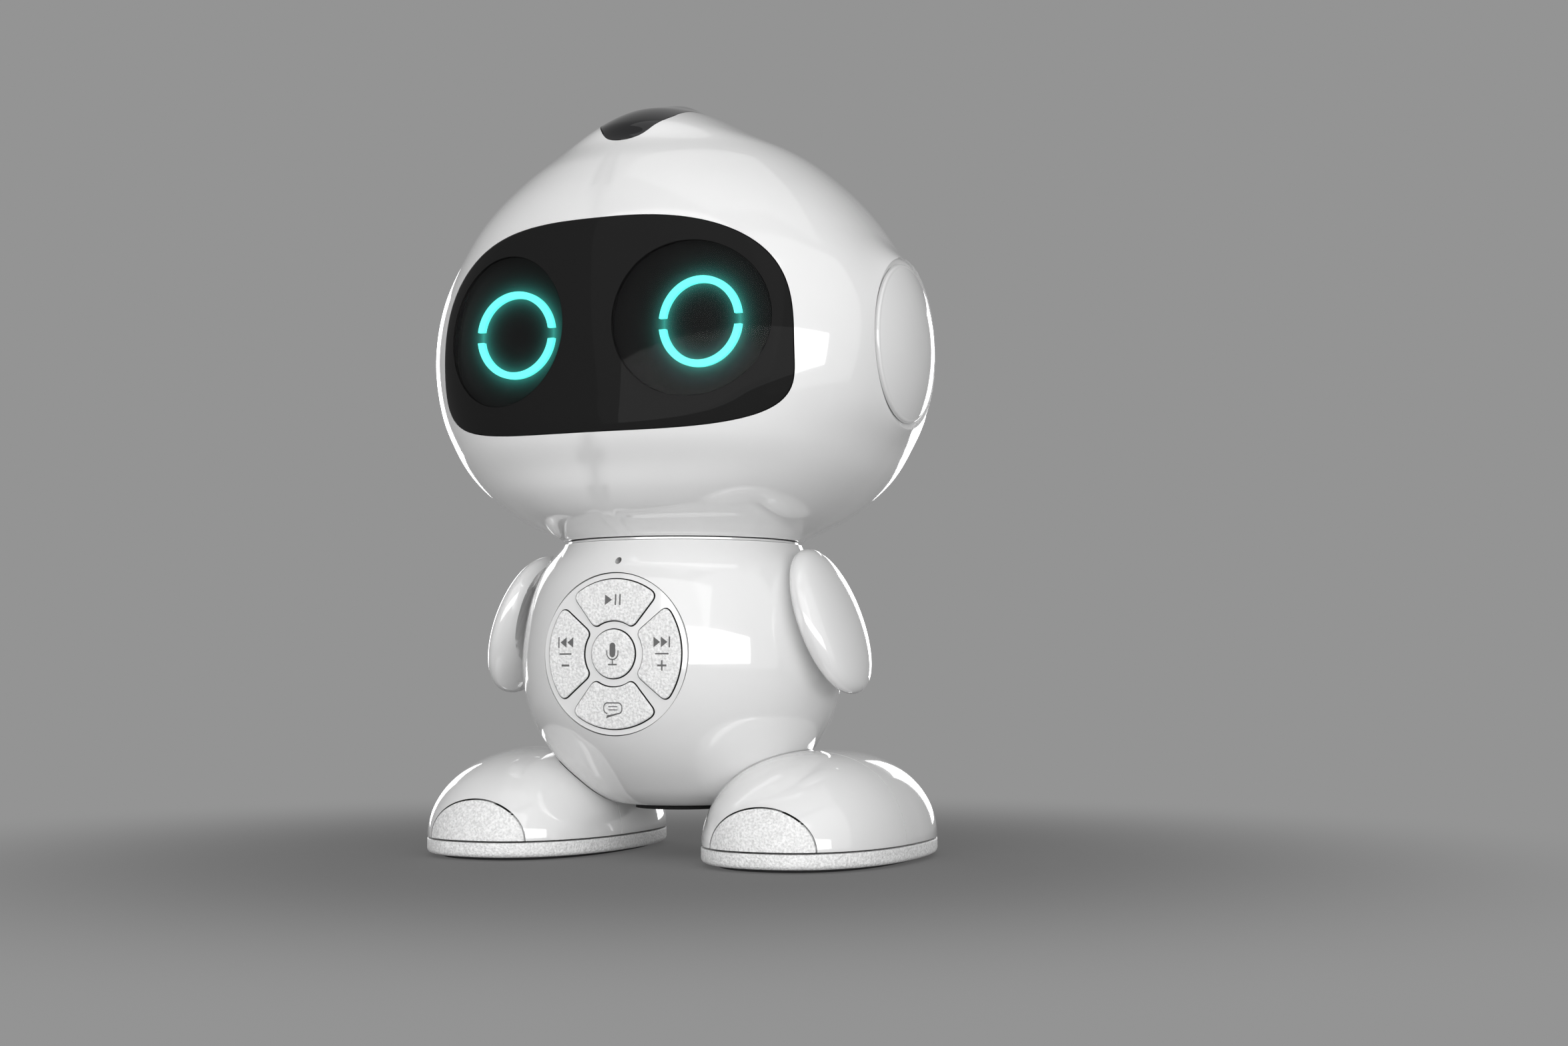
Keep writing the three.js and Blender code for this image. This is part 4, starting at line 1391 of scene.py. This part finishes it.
sole_low, sole_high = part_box("sole_band_left")
SOLE_ROUND = 1.6 * MM
SOLE_EDGE = 0.4 * MM
SOLE_TOP = sole_high[2] - 0.3 * MM
sole_rings = []
for angle in np.linspace(0, math.pi / 2, 8):
    inset = SOLE_ROUND * (1 - math.sin(angle))
    sole_rings.append(foot_ring(sole_low[2] + SOLE_ROUND * (1 - math.cos(angle)), inset))
for angle in np.linspace(0, math.pi / 2, 6):
    inset = SOLE_EDGE * (1 - math.cos(angle))
    sole_rings.append(foot_ring(SOLE_TOP - SOLE_EDGE * (1 - math.sin(angle)), inset))
sole = upright(loft("sole_band_left_visual", sole_rings))
well = upright(loft("sole_well", [foot_ring(z * MM, 4.4 * MM, 96) for z in (0, 9)]))
combine(sole, well)

tread_low, tread_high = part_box("sole_tread_left")
tread_inset = tread_low[0] - (FOOT_X - FOOT_HALF_WIDTH)
tread = upright(
    loft(
        "sole_tread_left_visual",
        [
            foot_ring(tread_low[2], tread_inset + 0.5 * MM),
            foot_ring(tread_low[2] + 0.15 * MM, tread_inset + 0.15 * MM),
            foot_ring(tread_low[2] + 0.5 * MM, tread_inset),
            foot_ring(tread_high[2], tread_inset),
        ],
    )
)
FOOT_PIECES = (
    (foot_front, "foot_front_shell", GLOSS, "gloss"),
    (foot_shell, "foot_rear_shell", GLOSS, "gloss"),
    (toe, "toe_cap", MATTE, "matte"),
    (sole, "sole_band", MATTE, "matte"),
    (tread, "sole_tread", RUBBER, "rubber"),
)


def paint_seam_shade(piece, field):
    """The cut edges of a shell are dull black as painted shade, so that its seams read as thin dark
    lines.
    """
    piece.data.materials.append(DULL_BLACK)
    centres = np.array([face.center for face in piece.data.polygons])
    for face, outward in zip(piece.data.polygons, slope(field, centres)[0]):
        if abs(face.normal.dot(Vector(outward))) < 0.6:
            face.material_index = 1


for piece, node, material, slot_name in FOOT_PIECES:
    twin = mirrored(piece, piece.name.replace("left", "right"))
    if node in ("sole_band", "sole_tread"):
        soften(piece)
        soften(twin)
    else:
        polish(piece, foot_field)
        polish(twin, mirror_field(foot_field))
    finish_piece(piece, material, ROOT, slot_name, f"{node}_left")
    finish_piece(twin, material, ROOT, slot_name, f"{node}_right")
    # Painted shade along the toe caps' cut edges.
    if node == "toe_cap":
        paint_seam_shade(piece, foot_field)
        paint_seam_shade(twin, mirror_field(foot_field))

# ---------------------------------------------------------------- studio

def area_light(name, place, aim, width, tall, power):
    data = bpy.data.lights.new(name, "AREA")
    data.shape = "RECTANGLE"
    data.size = width
    data.size_y = tall
    data.energy = power
    lamp = bpy.data.objects.new(name, data)
    lamp.location = place
    lamp.visible_camera = False
    lamp.rotation_euler = (Vector(aim) - Vector(place)).to_track_quat("-Z", "Y").to_euler()
    bpy.context.scene.collection.objects.link(lamp)
    return lamp


BACKDROP = 0.296
FLOOR_REACH = 14
FLOOR_TONE = 0.13
# Painted shadow round the robot: the floor's dimmer glow near it and the span over which it fades.
FLOOR_NEAR_SHADED_GLOW = 0.075
FLOOR_SHADOW_BLEND = (0.06, 0.36)


def studio():
    """An even grey surround, and a floor that fades into it away from the robot: its painted glow
    is dimmer near the robot, a painted shadow round it.
    """
    world = bpy.data.worlds.new("studio_world")
    bpy.context.scene.world = world
    world.use_nodes = True
    surround = world.node_tree.nodes["Background"]
    surround.inputs["Color"].default_value = (BACKDROP, BACKDROP, BACKDROP, 1)
    surround.inputs["Strength"].default_value = 1.0
    recipe = Recipe("studio_floor")
    away = recipe.node("VectorMath", operation="LENGTH")
    recipe.links.new(recipe.place(), away.inputs[0])
    fade = recipe.spread(away.outputs["Value"], 0, 1, *FLOOR_SHADOW_BLEND, ease="SMOOTHERSTEP")
    recipe.put("Base Color", recipe.tint(fade, grey(FLOOR_TONE), grey(0.0)))
    recipe.put("Emission Color", (1, 1, 1, 1))
    # Painted shadow: the floor's glow rises from a dim level near the robot to the backdrop's level
    # far off.
    recipe.put("Emission Strength", recipe.spread(fade, FLOOR_NEAR_SHADED_GLOW, BACKDROP, 0, 1))
    recipe.put("Roughness", 0.5)
    recipe.put("Specular IOR Level", 0.0)
    count = 64
    rings = [circle(radius, count) for radius in (0.01, 0.5, 2.0, FLOOR_REACH)]
    points = [(x, y, 0) for ring in rings for x, y in ring]
    faces = [tuple(range(count))]
    for base in range(0, (len(rings) - 1) * count, count):
        for k in range(count):
            after = (k + 1) % count
            faces.append((base + k, base + count + k, base + count + after, base + after))
    floor = new_object("studio_floor", points, faces)
    floor.data.materials.append(recipe.material)


def around(right, toward, up):
    """A place given by camera-right, toward-camera and up amounts, in metres."""
    across = Vector((math.cos(CAMERA_AZIMUTH), math.sin(CAMERA_AZIMUTH), 0)) * right
    near = Vector((math.sin(CAMERA_AZIMUTH), -math.cos(CAMERA_AZIMUTH), 0)) * toward
    return across + near + Vector((0, 0, up))


studio()
aim = (0, 0, 0.14)
key_place = around(0.45, 0.50, 0.33)
area_light("key_softbox", key_place, aim, 0.74, 0.95, 0.9)
glare = area_light("key_glare", key_place, aim, 0.74, 0.95, 2.0)
glare.visible_diffuse = False
area_light("front_fill", around(-0.5, 1.5, 0.7), aim, 2.4, 1.8, 11.3)
area_light("low_fill", around(0.0, 1.2, 0.22), (0, 0, 0.16), 2.6, 0.4, 11.8)
area_light("right_rim", around(0.48, -1.0, 0.10), aim, 0.3, 0.7, 2.4)
area_light("left_rim", around(-0.50, -1.0, 0.10), aim, 0.3, 0.8, 2.8)
area_light("top_softbox", around(0.1, 0.15, 1.1), aim, 1.0, 0.8, 0.7)
